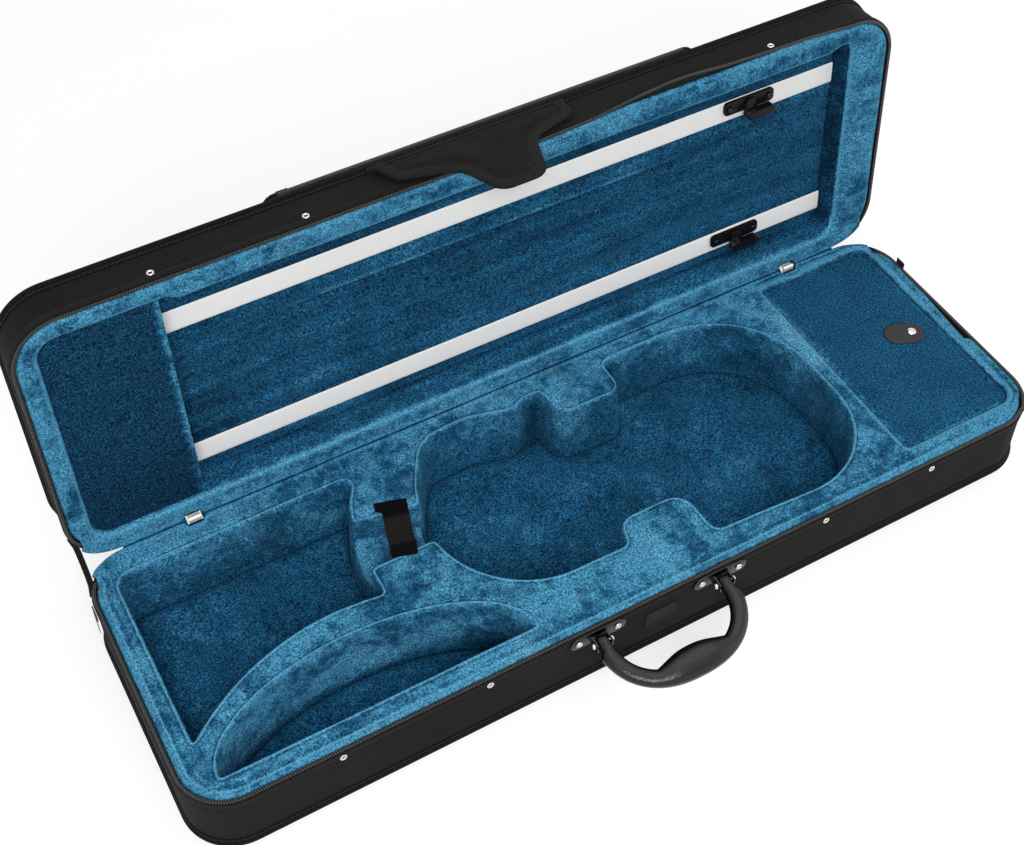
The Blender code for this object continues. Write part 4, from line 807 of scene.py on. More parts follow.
class VIOLINCASE_PG_looks(bpy.types.PropertyGroup):
    """Colours and fine sizes of the case."""

    # The three plush colours are one plush when lit, in half shade and in deep shade: light and shade painted into the
    # colour.
    plush_lit: FloatVectorProperty(
        name="Plush Light", description="Lining where the nap faces the light", subtype="COLOR", size=4,
        default=(0.062, 0.262, 0.430, 1.0), min=0, max=1,
    )
    plush_half_shade: FloatVectorProperty(
        name="Plush Middle", description="Lining on floors and walls", subtype="COLOR", size=4,
        default=(0.012, 0.090, 0.185, 1.0), min=0, max=1,
    )
    plush_shade: FloatVectorProperty(
        name="Plush Deep", description="Lining where the nap lies away from the light", subtype="COLOR", size=4,
        default=(0.002, 0.020, 0.048, 1.0), min=0, max=1,
    )
    fabric: FloatVectorProperty(
        name="Fabric", description="Woven outer fabric", subtype="COLOR", size=3,
        default=(0.0095, 0.0095, 0.0098), min=0, max=1,
    )
    ribbon: FloatVectorProperty(
        name="Ribbon", description="Bindings and zip tapes", subtype="COLOR", size=3,
        default=(0.009, 0.009, 0.0092), min=0, max=1,
    )
    weave_pitch: FloatProperty(
        name="Weave Pitch", description="Distance between threads of the outer fabric", unit="LENGTH",
        default=0.0008, min=0.0002, max=0.005,
    )
    rib_pitch: FloatProperty(
        name="Rib Pitch", description="Distance between ribs of the edge bindings", unit="LENGTH",
        default=0.0013, min=0.0005, max=0.01,
    )
    coil_pitch: FloatProperty(
        name="Coil Pitch", description="Distance between teeth of the zip", unit="LENGTH",
        default=0.0020, min=0.001, max=0.01,
    )
    stitch_pitch: FloatProperty(
        name="Stitch Pitch", description="Distance between stitches of the seams", unit="LENGTH",
        default=0.0042, min=0.002, max=0.02,
    )
    nap_size: FloatProperty(
        name="Nap Fineness", description="Fineness of the nap, more is finer", default=1.0, min=0.2, max=4.0,
    )


def looks():
    """The case's settings."""
    return bpy.context.scene.violin_case_looks


class VIOLINCASE_OT_finishes(bpy.types.Operator):
    """Lays out the shared node groups and every finish of the case"""

    bl_idname = "violin_case.finishes"
    bl_label = "Finishes"

    def execute(self, context):
        look = looks()
        for make in (plush_group, weave_group, rib_group, grain_group, wear_group):
            make()
        light, middle, deep = (tuple(c) for c in (look.plush_lit, look.plush_half_shade, look.plush_shade))
        plush_finish("Blue Plush", light, middle, deep)
        plush_finish("Lid Plush", light, middle, deep, 0.7, 0.8)
        plush_finish("Flat Plush", light, middle, deep, 0.0, 0.45)
        cloth_finish("Black Fabric", tuple(look.fabric), look.weave_pitch)
        ribbon = tuple(look.ribbon)
        ribbon_finish("Edge Ribbon", tuple(c * 0.55 for c in ribbon), look.rib_pitch * 1.7, 0.6, 0.0012, 1.5, 3.0, 0.06)
        ribbon_finish("Flap Ribbon", tuple(c * 0.8 for c in ribbon), look.rib_pitch * 2.0, 0.7, 0.0020, 1.7, 2.8)
        ribbon_finish("Zip Tape", tuple(c * 0.7 for c in ribbon), look.rib_pitch * 1.1, 1.0, 0.0005, 1.2, 2.0, 0.08)
        ribbon_finish("Pale Ribbon", (0.86, 0.85, 0.84), 0.0006, 0.0, 0.00003, 0.06, 0.15, 0.4)
        hook_tape_finish()
        hard_finish("Coil Nylon", (0.040, 0.038, 0.036), 0.30, wear=0.3)
        hard_finish("Thread", (0.010, 0.010, 0.011), 0.8)
        gloss, dull = {"Specular_IOR_Level": 0.38}, {"Specular_IOR_Level": 0.14}
        hard_finish("Moulded Grip", (0.003, 0.003, 0.0035), 0.22, 0.0, 0.00022, 900.0, 0.2, **gloss)
        hard_finish("Black Plastic", (0.005, 0.005, 0.006), 0.34, wear=0.2, **dull)
        hard_finish("Soft Rubber", (0.008, 0.008, 0.008), 0.6, grain=0.0001, grain_scale=1500.0)
        hard_finish("Bare Rubber", (0.005, 0.005, 0.005), 0.6, grain=0.0001, grain_scale=1500.0, **dull)
        hard_finish("Dark Plating", (0.030, 0.030, 0.031), 0.24, metallic=1.0)
        hard_finish("Nickel", (0.66, 0.65, 0.63), 0.22, metallic=1.0)
        # Hinge metal: pale and only partly metallic, so its own colour stands in for the bright reflection of nickel, a
        # painted reflection.
        hard_finish("Painted Bright Nickel", (0.90, 0.89, 0.87), 0.42, metallic=0.35)
        return {"FINISHED"}


def finish(name):
    """A finish by its name."""
    return bpy.data.materials[name]


def bed_outline():
    """Violin bed: half circle at the left, bumps at the waist, wide lower bout."""
    return rounded([
        (-0.131, -0.0675, 0.086), (0.002, -0.070, 0.005), (0.008, -0.046, 0.014), (0.070, -0.046, 0.018),
        (0.072, -0.092, 0.008), (0.245, -0.102, 0.075), (0.245, 0.108, 0.092), (0.086, 0.108, 0.006),
        (0.086, 0.072, 0.012), (0.025, 0.0735, 0.014), (0.0215, 0.1050, 0.005), (0.0040, 0.1050, 0.005),
        (-0.0080, 0.0985, 0.012), (-0.0470, 0.1085, 0.060), (-0.0950, 0.1070, 0.030), (-0.1245, 0.0560, 0.100),
        (-0.1310, 0.0100, 0.060),
    ])


def compartment_outline():
    """Left compartment: the divider's round back below, straight sides elsewhere."""
    x, y, radius = DIVIDER
    left = math.degrees(math.acos((COMPARTMENT_LEFT - x) / radius))
    right = math.degrees(math.acos((-0.190 - x) / radius))
    back = arc(x, y, radius, radius, left, right, 60)
    rest = rounded([
        (-0.190, -0.0161, 0.0), (-0.189, 0.040, 0.030), (-0.176, 0.078, 0.020), (-0.161, COMPARTMENT_REAR, 0.006),
        (COMPARTMENT_LEFT, COMPARTMENT_REAR, 0.012), (COMPARTMENT_LEFT, -0.060, 0.0),
    ])
    return np.vstack([back, rest])


def cut_open(outline, gap):
    """Closed outline opened where gap is true: it starts after the gap and ends before it."""
    start = int(np.flatnonzero(gap & ~np.roll(gap, -1))[0]) + 1
    return np.roll(outline, -start, axis=0)[: len(outline) - int(gap.sum())]


def beds_outline():
    """Violin bed and left compartment as one hollow, joined by the neck channel between its two walls."""
    paths = []
    for outline, middle in ((bed_outline(), -1), (compartment_outline(), 1)):
        dense = even(outline, 0.001)
        near = dense[:, 0] < -0.10 if middle < 0 else dense[:, 0] > -0.25
        paths.append(cut_open(dense, (dense[:, 1] > NECK_LOW) & (dense[:, 1] < NECK_HIGH) & near))
    crisp, soft = (even(np.vstack(paths), 0.0022, width) for width in (0.0022, 0.0040))
    x, y = crisp.T
    near = smooth((0.045 - abs(x + 0.158)) / 0.012) * smooth((0.038 - abs(y - 0.034)) / 0.010)
    return crisp + (soft - crisp) * near[:, None]


def hollow_profile(rim, floor):
    """Wall of a plush-lined hollow: beaded lip, wall that draws in with depth, crease at the floor; its tones are
    painted light, with a painted highlight on the bead and painted shade growing down the wall to the crease.
    """
    lip = [(0.0056, 0), (0.0048, -0.0001), (0.0041, -0.0005), (0.0036, -0.0009), (0.0031, -0.0005)]
    lip += [(0.0026, -0.0001), (0.0020, 0.0001), (0.0012, 0.0), (0.0005, -0.0007), (0.0, -0.0020)]
    wall = [(-0.0003, -0.005), (-0.0010, -0.015), (-0.0020, -0.030), (-0.0030, -0.045)]
    foot = [(-0.0036, floor - rim + 0.0030), (-0.0040, floor - rim + 0.0006), (-0.0046, floor - rim)]
    foot += [(-0.0060, floor - rim + 0.0006), (-0.0095, floor - rim + 0.0010)]
    rows = np.array(lip + wall + foot)
    rows[:, 1] += rim
    # Painted light per row: lit rim, painted highlight on the bead (1.38), painted shade darkening down the wall,
    # darkest in the crease.
    tone = [0.78, 0.76, 0.70, 0.42, 0.66, 0.90, 1.38, 1.00, 0.78, 0.64, 0.58, 0.55, 0.50, 0.46, 0.38, 0.10, 0.02]
    return rows, np.array(tone + [0.30, 0.40])


def base_swell(points):
    """Unevenness of the rims: a low ridge along the outer edge, a trough beside it and slow waves."""
    x, y, z = points.T
    edge = np.minimum(HALF_LENGTH - abs(x), HALF_WIDTH - abs(y)) - FOAM_INSET
    ridge = 0.0006 * np.exp(-(((edge - 0.012) / 0.004) ** 2)) - 0.0005 * np.exp(-(((edge - 0.0055) / 0.0022) ** 2))
    wave = 0.0003 * np.sin(41 * x + 2) * np.sin(57 * y) + 0.0002 * np.sin(93 * x + 31 * y)
    lift = (ridge + wave) * smooth((z - (BASE_RIM - 0.012)) / 0.010)
    return push_out(points + np.stack([0 * x, 0 * x, lift], axis=1), BASE_RIM - z, base_reach, 1)


def skirt(rim, bottom, side):
    """Outer side of a lining from its bottom over a soft edge to the rim; side is 1 upward, -1 downward. Its tones are
    painted light: shaded down the side, lit over the edge.
    """
    rows = [(0, bottom), (0, bottom + (rim - bottom) * 0.5), (0, rim - side * 0.0030), (0, rim - side * 0.0024)]
    rows += [(-0.0003, rim - side * 0.0016), (-0.0010, rim - side * 0.0007), (-0.0022, rim - side * 0.0001)]
    rows += [(-0.0042, rim)]
    # Painted light: shade down the side, lit over the rolled edge.
    return rows, [0.3, 0.3, 0.5, 0.65, 0.85, 1.0, 1.05, 0.95]


def push_out(points, below, amount, side):
    """Plush pulled out over the shell's rim: points near the edge move along its outward normal by an amount.

    The amount is a function of place and of the normal; it fades 12 mm in from the edge and 3 mm below the rim.
    Behind, the edge is also drawn up towards the rim, so that both linings meet in a narrow line; side is 1 for
    the base and -1 for the lid.
    """
    x, y, z = points.T
    reach_x = np.clip(abs(x) - (HALF_LENGTH - CORNER), 0, None) * np.sign(x)
    reach_y = np.clip(abs(y) - (HALF_WIDTH - CORNER), 0, None) * np.sign(y)
    reach = np.hypot(reach_x, reach_y)
    out_x, out_y = reach_x / np.maximum(reach, 1e-6), reach_y / np.maximum(reach, 1e-6)
    high = np.clip((0.0029 - below) / 0.0004, 0, 1)
    shift = amount(x, y, out_x, out_y) * high * smooth((reach - (CORNER - 0.0155)) / 0.0078)
    rise = 0.65 * np.clip(below, 0, None) * np.clip(shift / 0.004, 0, 1) * smooth((out_y - 0.5) / 0.2)
    return points + np.stack([out_x * shift, out_y * shift, side * rise], axis=1)


def rear_reach(x, out_x, out_y):
    """Rear lip: out over the shell behind and round the rear corners, but not beside the hinges."""
    free = smooth((out_y - 0.52) / 0.14)
    for middle in HINGES_X:
        free = free * smooth((abs(x - middle) - HINGE_NOTCH) / 0.0012)
    return (REAR_LIP + 0.0022 * (2 * out_x * out_y) ** 2) * free


def base_reach(x, y, out_x, out_y):
    """Base: the rear lip, and the right end, where the plush covers the zip but for one slack stretch."""
    right = smooth((out_x - 0.8) / 0.15)
    slack = np.clip((0.034 - y) / 0.062, 0, 1) * (y > -0.0285)
    return rear_reach(x, out_x, out_y) + right * (0.0034 - 0.0056 * slack)


def lid_front_reach(x):
    """Lid's front: the plush stands out over the wall along the right half."""
    return 0.0036 * smooth((x - 0.04) / 0.09) * smooth((0.345 - x) / 0.05)


def lid_reach(x, y, out_x, out_y):
    """Lid: the rear lip and the front's right half."""
    return rear_reach(x, out_x, out_y) + smooth((-out_y - 0.7) / 0.2) * lid_front_reach(x)


class VIOLINCASE_OT_base_lining(bpy.types.Operator):
    """Builds the plush lining of the base with its beds and compartments"""

    bl_idname = "violin_case.base_lining"
    bl_label = "Base Lining"

    def execute(self, context):
        floor = FOAM_BOTTOM + 0.0006
        outer = even(shell_outline(FOAM_INSET), 0.004)
        profile, tone = skirt(BASE_RIM, FOAM_BOTTOM, 1)
        inward = np.array([0.0056, 0.0072, 0.0090, 0.0112])
        profile = np.vstack([profile, np.column_stack([-inward, np.full(4, BASE_RIM)])])
        normal = directions(outer)[1]
        wide = np.maximum(smooth((-normal[:, 1] - 0.6) / 0.3), smooth((-normal[:, 0] - 0.6) / 0.3))
        wide = wide * smooth((0.34 - outer[:, 0]) / 0.04)
        held = (inward - 0.0044 - 0.0002 * np.arange(4))[:, None] * (1 - wide)
        side = carry(outer, profile, sway=np.vstack([np.zeros((8, len(outer))), held]))
        # Along the wide front and left rims the tones paint a light band on the rolled edge (1.32), a painted
        # highlight, with shade just inside it.
        tone = np.array(tone + [1.32, 0.62, 0.55, 0.80])[:, None] * wide + np.array(tone + [0.82] * 4)[:, None] * (1 - wide)
        parts = [grid_part(side, np.hstack([tone, tone[:, :1]])), cap(side[0, :-1], 0.3)]
        rims = [side[-1, :-1, :2]]
        crescent = even(arc(*CRESCENT, 0, 180, 120), 0.0022, 0.0016)
        for outline in (beds_outline(), crescent):
            profile, tone = hollow_profile(BASE_RIM, floor)
            wall = carry(outline, profile)
            # The crescent's wall is painted lighter, as a lit wall.
            if outline is crescent:
                tone[9:14] += 0.25
            x, y = outline.T
            # Painted shadow: the lower wall darkens in the two narrow notches at the rear of the bed.
            notch_shadow = np.exp(-(((x - 0.013) / 0.008) ** 2)) * smooth((y - 0.092) / 0.005)
            notch_shadow = notch_shadow + np.exp(-(((x - 0.091) / 0.007) ** 2)) * smooth((y - 0.082) / 0.012)
            shade = tone[:, None] * (1 - 0.85 * notch_shadow * (np.arange(len(tone)) > 10)[:, None])
            parts.append(grid_part(wall, np.hstack([shade, shade[:, :1]])))
            rims.append(wall[0, :-1, :2])
            foot = wall[-1, :-1, :2]
            # Floors get tone 0.40: painted shade below the lit rims.
            parts.append(fill([foot], 0.006, self.floor(profile[-1][1]), 0.40))
        left, right, front, rear = ACCESSORY
        corners = [(left, front, 0.003), (right, front, 0.012), (right, rear, 0.020), (left, rear, 0.003)]
        recess = even(rounded(corners), 0.0025, 0.0008)
        drop = [(0.0065, 0), (0.0050, 0.0003), (0.0035, 0.0004), (0.0020, 0.0001), (0.0010, -0.0006)]
        drop += [(0.0006, -0.0016), (0.0005, -0.0049), (-0.0002, -0.0053), (-0.0052, -0.0053), (-0.0058, -0.0060)]
        drop += [(-0.0060, -0.030), (-0.0062, floor - BASE_RIM + 0.001), (-0.0072, floor - BASE_RIM)]
        profile = np.array(drop) + (0, BASE_RIM)
        # Painted light: lit lip with a painted highlight (1.15), shade down the recess's wall and on its floor.
        tone = [0.8, 0.95, 1.15, 1.15, 0.9, 0.5, 0.3, 0.25, 0.4, 0.4, 0.35, 0.3, 0.3]
        wall = carry(recess, profile)
        parts.append(grid_part(wall, tone))
        rims.append(wall[0, :-1, :2])
        parts.append(fill([wall[-1, :-1, :2]], 0.008, lambda x, y: floor + 0 * x, 0.35))
        parts.append(fill(rims, 0.005, lambda x, y: BASE_RIM + 0 * x, self.rim_shading))
        lining = build("base_lining", parts, finish("Blue Plush"), base_swell)
        seat(lining, "base", ["base_foam_insert", "base_floor_panel"])
        return {"FINISHED"}

    @staticmethod
    def rim_shading(x, y):
        """Rims: evenly lit, with painted light on the rear bump at the waist."""
        return 0.76 + 0.16 * np.exp(-(((x - 0.055) / 0.032) ** 2)) * smooth((y - 0.070) / 0.008)

    @staticmethod
    def floor(level):
        """Floor of a hollow: level plus shallow waves."""
        return lambda x, y: level + 0.0003 * np.sin(47 * x + 1) * np.sin(61 * y) * 1.0


class VIOLINCASE_OT_neck_rest(bpy.types.Operator):
    """Builds the plush saddle of the neck channel and the strap across it"""

    bl_idname = "violin_case.neck_rest"
    bl_label = "Neck Rest"

    def execute(self, context):
        half = (NECK_HIGH - NECK_LOW) / 2 - CLEAR
        middle = (NECK_HIGH + NECK_LOW) / 2
        y = middle + half * np.linspace(-1, 1, 25)
        bed_end = -0.045 - np.sqrt(0.086**2 - (y - 0.0195) ** 2)
        left_end = np.interp(y, [0.0, 0.030, 0.045, 0.058], [-0.1896, -0.1890, -0.1868, -0.1825])
        top = CRADLE_TOP + 0.004 * ((y - middle) / half) ** 2 + 0.004 * smooth((abs(y - middle) / half - 0.85) / 0.15)
        bottom = FOAM_BOTTOM + 0.0007
        rows = []
        ends = [(0.0, 0.0), (0.0, 0.45), (0.0, 0.86), (0.0012, 0.95), (0.0035, 0.99), (0.007, 1.0)]
        for inward, share in ends:
            draw = 0.0036 * (1 - share)
            rows.append(np.stack([left_end + 0.0005 - draw + inward, y, bottom + (top - bottom) * share], axis=1))
        for share in (0.35, 0.65):
            x = left_end * (1 - share) + bed_end * share
            rows.append(np.stack([x, y, top], axis=1))
        for inward, share in ends[::-1]:
            draw = 0.0036 * (1 - share)
            rows.append(np.stack([bed_end - 0.0005 + draw - inward, y, bottom + (top - bottom) * share], axis=1))
        grid = np.stack(rows)
        # Painted light: lit top, painted shade down its sides and underneath.
        tone = [0.3, 0.4, 0.55, 0.9, 0.8, 0.7, 0.65, 0.65, 0.7, 0.8, 0.9, 0.55, 0.4, 0.3]
        ring = [grid[:, 0], grid[:, -1]]
        parts = [grid_part(grid, tone), cap(ring[0], 0.4), cap(ring[1], 0.4)]
        under = np.stack([grid[0], grid[-1]])
        parts.append(grid_part(under, 0.3))
        saddle = build("neck_saddle", parts, finish("Blue Plush"), sharp=60)
        seat(saddle, "base", ["neck_cradle"])
        self.strap(middle)
        return {"FINISHED"}

    @staticmethod
    def strap(middle):
        """Strap across the channel: a band that sags between its sewn ends, and widens on one side near one end."""
        reach = 0.0268
        lean = 0.29
        s = np.linspace(-1, 1, 61) * reach
        z = BASE_RIM + CLEAR + 0.0004 - 0.0046 * np.clip(1 - (s / 0.0185) ** 2, 0, None)
        section = eased([(-0.0105, 0), (0.0105, 0), (0.0105, 0.0013), (-0.0105, 0.0013)], 2, True)
        ear = 0.0050 * smooth((s - 0.0170) / 0.002) * (section[:, :1] < 0)
        across = section[:, :1] - ear
        y = middle + s[None] - lean * across
        x = -0.1515 + lean * s[None] + across
        grid = np.stack([x, y, np.broadcast_to(z[None] + section[:, 1:], y.shape)], axis=2)
        grid = np.concatenate([grid, grid[:1]])
        tone = smooth((s + 0.0145) / 0.0008) * smooth((0.0150 - s) / 0.004)
        parts = [grid_part(grid, np.broadcast_to(tone, grid.shape[:2])), cap(grid[:-1, 0], 0), cap(grid[:-1, -1], 0)]
        band = build("neck_strap_band", parts, finish("Hook Tape"), sharp=50)
        seat(band, "base", ["neck_strap"])


class VIOLINCASE_OT_accessory_lid(bpy.types.Operator):
    """Builds the padded lid of the accessory compartment with its pull tab and rivet"""

    bl_idname = "violin_case.accessory_lid"
    bl_label = "Accessory Lid"

    def execute(self, context):
        left, right, front, rear = ACCESSORY
        inset = 0.0005
        corners = [(left + inset, front + inset, 0.003), (right - inset, front + inset, 0.012)]
        corners += [(right - inset, rear - inset, 0.020), (left + inset, rear - inset, 0.003)]
        outline = even(rounded(corners), 0.003, 0.0008)
        top = BASE_RIM - 0.002
        profile = [(-0.001, top - 0.003), (0, top - 0.0024), (0, top - 0.0012), (-0.0005, top - 0.0004), (-0.0018, top)]
        side = carry(outline, profile)
        # Side tones are painted light: shade low, lit at the rounded top edge.
        parts = [grid_part(side, [0.3, 0.3, 0.5, 0.75, 0.55]), cap(side[0, :-1], 0.3)]
        ring = side[-1, :-1, :2]

        def crown(x, y):
            """Pad: rises from its edge over 10 mm, more in the middle, with slow waves."""
            edge = np.minimum(np.minimum(x - left, right - x), np.minimum(y - front, rear - y))
            return top + 0.0007 * smooth(edge / 0.012) * (1 + 0.2 * np.sin(60 * x) * np.sin(45 * y))

        # Tone 0.40 all over, with a painted highlight along the left fold.
        parts.append(fill([ring], 0.006, crown, lambda x, y: 0.40 + 0.25 * smooth((left + 0.0045 - x) / 0.002)))
        lid = build("accessory_pad", parts, finish("Flat Plush"))
        seat(lid, "accessory", ["accessory_lid"])
        self.tab(right - 0.034, 0.005, top + 0.0009)
        return {"FINISHED"}

    @staticmethod
    def tab(x, y, low):
        """Pull tab: two round ends joined by a narrower waist, thin and soft-edged, riveted at its right end."""
        turn = np.linspace(0, 2 * math.pi, 72, endpoint=False)
        along_tab = 0.0185 * np.sign(np.cos(turn)) * abs(np.cos(turn)) ** 0.75
        across = 0.0128 * np.sin(turn) * (1 - 0.12 * np.exp(-((along_tab / 0.006) ** 2)))
        c, s = math.cos(math.radians(-21)), math.sin(math.radians(-21))
        outline = np.stack([x + along_tab * c - across * s, y + along_tab * s + across * c], axis=1)
        profile = [(-0.0004, low), (0, low + 0.0003), (0, low + 0.0010), (-0.0004, low + 0.0014), (-0.0014, low + 0.0015)]
        side = carry(outline, profile)
        ring = side[-1, :-1, :2]
        parts = [grid_part(side), cap(side[0, :-1]), fill([ring], 0.003, lambda x, y: low + 0.0015 + 0 * x)]
        tab = build("accessory_tab", parts, finish("Soft Rubber"))
        seat(tab, "accessory", ["pull_tab"])
        head = [(0.0042, 0), (0.0044, 0.0003), (0.0040, 0.0008), (0.0030, 0.0012), (0.0012, 0.0014), (0.0002, 0.0014)]
        parts = turned(head, [(x + 0.007, y - 0.002, low + 0.0015)], (0, 0, 1))
        rivet = build("accessory_tab_rivet", parts, finish("Nickel"))
        seat(rivet, "accessory", ["pull_tab_rivet"])


def tray_outline():
    """Hollow of the lid in plan."""
    left, right, front, rear = TRAY
    return even(box_outline(left, right, front, rear, TRAY_CORNER), 0.0025, 0.001)


def lid_floor(x, y):
    """Floor of the lid's tray: flat at the tray's depth, waves along it, and a long scoop below an edge line."""
    left, right, front, rear, deep = SCOOP
    ends = np.clip((x - left) / 0.095, 0, 1) * np.clip((right - x) / 0.095, 0, 1)
    fall = smooth((y - front + 0.0004) / 0.0016) * np.clip((rear - y) / (rear - front), 0, 1)
    waves = 0.0004 * (1 - np.cos(2 * math.pi * (y + 0.006 * np.sin(9 * x)) / 0.023))
    return TRAY_DEPTH + deep * smooth(ends) * fall + waves * smooth((0.060 - abs(y - 0.01)) / 0.02)


def lid_swell(points):
    """The sloped right end of the lid's rim, and slow waves on its rims."""
    x, y, depth = points.T
    left, right, front, rear = TRAY
    inner = smooth((x - right + 0.014) / 0.012) * np.clip((right + SLOPE_LENGTH - x) / SLOPE_LENGTH, 0, 1)
    ends = smooth((y - front + 0.004) / 0.016) * smooth((rear + 0.004 - y) / 0.016)
    shift = SLOPE_DEPTH * inner * ends * np.clip(1 - depth / 0.020, 0, 1)
    near = smooth((0.010 - depth) / 0.008)
    edge = np.minimum(HALF_LENGTH - abs(x), HALF_WIDTH - abs(y)) - FOAM_INSET
    wave = -0.0004 * np.exp(-(((edge - 0.009) / 0.004) ** 2)) + 0.0003 * np.sin(37 * x) * np.sin(70 * y)
    return push_out(points + np.stack([0 * x, 0 * x, shift + wave * near], axis=1), depth, lid_reach, -1)


class VIOLINCASE_OT_lid_lining(bpy.types.Operator):
    """Builds the plush lining of the lid with its tray, sloped end and scooped floor"""

    bl_idname = "violin_case.lid_lining"
    bl_label = "Lid Lining"

    def execute(self, context):
        outer = even(shell_outline(FOAM_INSET), 0.004)
        bottom = LID_DEPTH - WALL - CLEAR
        profile, tone = skirt(0.0, bottom, -1)
        side = carry(outer, profile)
        parts = [grid_part(side, tone), cap(side[0, :-1], 0.3)]
        wall = [(0.0046, 0), (0.0032, 0.0001), (0.0018, 0.0006), (0.0008, 0.0015), (0.0002, 0.0028)]
        wall += [(-0.0003, 0.0050), (-0.0020, 0.012), (-0.0040, 0.0205), (-0.0046, 0.0226), (-0.0050, 0.0238)]
        wall += [(-0.0062, TRAY_DEPTH)]
        # Painted light per row: lit lip, a painted highlight on its edge, painted shade down the wall.
        tone = [0.8, 0.95, 1.2, 1.1, 0.75, 0.5, 0.40, 0.32, 0.2, 0.05, 0.25]
        outline = tray_outline()
        lean = 0.0052 * smooth((outline[:, 0] - POCKET_EDGE - 0.004) / 0.012) * (outline[:, 1] < TRAY[2] + 0.004)
        lean = lean * smooth((TRAY[1] - 0.010 - outline[:, 0]) / 0.02)
        share = np.array([1, 1, 1, 1, 1, 0.9, 0.4, 0.05, 0, 0, 0])
        grid = carry(outline, wall, sway=-share[:, None] * lean)
        # Painted shade: the lower wall darkens at the right end and much more along the front, under the overhanging
        # lip.
        low = (np.arange(len(wall)) > 3)[:, None]
        end_and_front_shade = 1 - 0.75 * smooth((outline[:, 0] - TRAY[1] + 0.008) / 0.006) * low
        end_and_front_shade = end_and_front_shade * (1 - 0.95 * smooth((TRAY[2] + 0.008 - outline[:, 1]) / 0.006) * low)
        tone = np.array(tone)[:, None] * end_and_front_shade
        parts.append(grid_part(grid, np.hstack([tone, tone[:, :1]])))
        x, y = np.meshgrid(np.arange(-0.35, 0.33, 0.004), np.array([-0.0326, -0.0318, -0.0312, -0.0306, -0.0300, -0.0290]))
        extra = np.stack([x.ravel(), y.ravel()], axis=1)

        def floor_shading(x, y):
            """Painted shadow under the scoop's edge, fading behind it, a painted highlight along that edge, and painted
            shade beside the front wall.
            """
            left, right, front, rear, deep = SCOOP
            ends = smooth((x - left) / 0.08) * smooth((right - x) / 0.08)
            under = np.exp(-np.clip(y - front, 0, None) / 0.010) * (y > front - 0.0004)
            lit = np.exp(-(((y - front + 0.002) / 0.0016) ** 2))
            return 0.34 - 0.28 * under * ends + 0.35 * lit * ends - 0.32 * smooth((-0.090 - y) / 0.008)

        parts.append(fill([grid[-1, :-1, :2]], 0.0055, lid_floor, floor_shading, extra))
        parts.append(fill([side[-1, :-1, :2], grid[0, :-1, :2]], 0.005, lambda x, y: 0 * x, 0.80))
        lining = build("lid_lining", parts, finish("Lid Plush"), lambda p: lid_place(lid_swell(p)))
        seat(lining, "lid", ["lid_foam_insert"])
        return {"FINISHED"}


class VIOLINCASE_OT_bow_tip_pocket(bpy.types.Operator):
    """Builds the plush board over the left end of the lid's tray"""

    bl_idname = "violin_case.bow_tip_pocket"
    bl_label = "Bow Tip Pocket"

    def execute(self, context):
        left, right, front, rear = TRAY
        inset = 0.0004
        corners = [(left + inset, front + inset, 0.0165), (POCKET_EDGE, front + inset, 0.0015)]
        corners += [(POCKET_EDGE, rear - inset, 0.0015), (left + inset, rear - inset, 0.0165)]
        outline = even(rounded(corners), 0.003, 0.0006)
        top, under = 0.0040, 0.0075
        profile = [(-0.0008, under), (0, under - 0.0006), (0, top + 0.0008), (-0.0003, top + 0.0002), (-0.0012, top)]
        side = carry(outline, profile)
        # Painted highlight: the side is light at the edge beside the tray, dark elsewhere.
        edge = smooth((side[:, :, 0] - POCKET_EDGE + 0.0016) / 0.0008)
        parts = [grid_part(side, 0.12 + 0.75 * edge), cap(side[0, :-1], 0.1)]

        def board(x, y):
            """Board: a slight belly in long waves."""
            return top + 0.0003 * np.sin(50 * x) * np.sin(33 * y)

        def board_shading(x, y):
            """Dark all over, darker towards the hinge as painted shade, with a painted highlight at the very edge
            beside the tray.
            """
            return 0.135 - 0.10 * smooth(y / 0.1) + 0.65 * smooth((x - POCKET_EDGE + 0.0018) / 0.0006)

        rows = np.arange(front + 0.006, rear - 0.004, 0.0025)
        x, y = np.meshgrid(POCKET_EDGE - np.array([0.0016, 0.0026]), rows)
        extra = np.stack([x.ravel(), y.ravel()], axis=1)
        parts.append(fill([side[-1, :-1, :2]], 0.006, board, board_shading, extra))
        pocket = build("bow_tip_board", parts, finish("Blue Plush"), lid_place)
        seat(pocket, "lid", ["bow_tip_pocket"])
        return {"FINISHED"}


class VIOLINCASE_OT_bow_rails(bpy.types.Operator):
    """Builds the two pale ribbon rails along the lid"""

    bl_idname = "violin_case.bow_rails"
    bl_label = "Bow Rails"

    def execute(self, context):
        x = np.linspace(-0.302, TRAY[1] - 0.0056, 150)
        under, top = TRAY_DEPTH - CLEAR, TRAY_DEPTH - CLEAR - 0.0012
        section = [(-RAIL_HALF, under), (-RAIL_HALF, top), (-0.004, top - 0.0002), (0.004, top - 0.0002)]
        section = eased(section + [(RAIL_HALF, top), (RAIL_HALF, under)], 2, True)
        for name, middle in RAILS_Y.items():
            grid = np.stack([
                np.broadcast_to(x, (len(section), len(x))),
                middle + np.broadcast_to(section[:, :1], (len(section), len(x))),
                np.broadcast_to(section[:, 1:], (len(section), len(x))),
            ], axis=2)
            grid = np.concatenate([grid, grid[:1]])
            parts = [grid_part(grid), cap(grid[:-1, 0]), cap(grid[:-1, -1])]
            rail = build(name + "_ribbon", parts, finish("Pale Ribbon"), lid_place, sharp=50)
            seat(rail, "lid", [name])
        return {"FINISHED"}


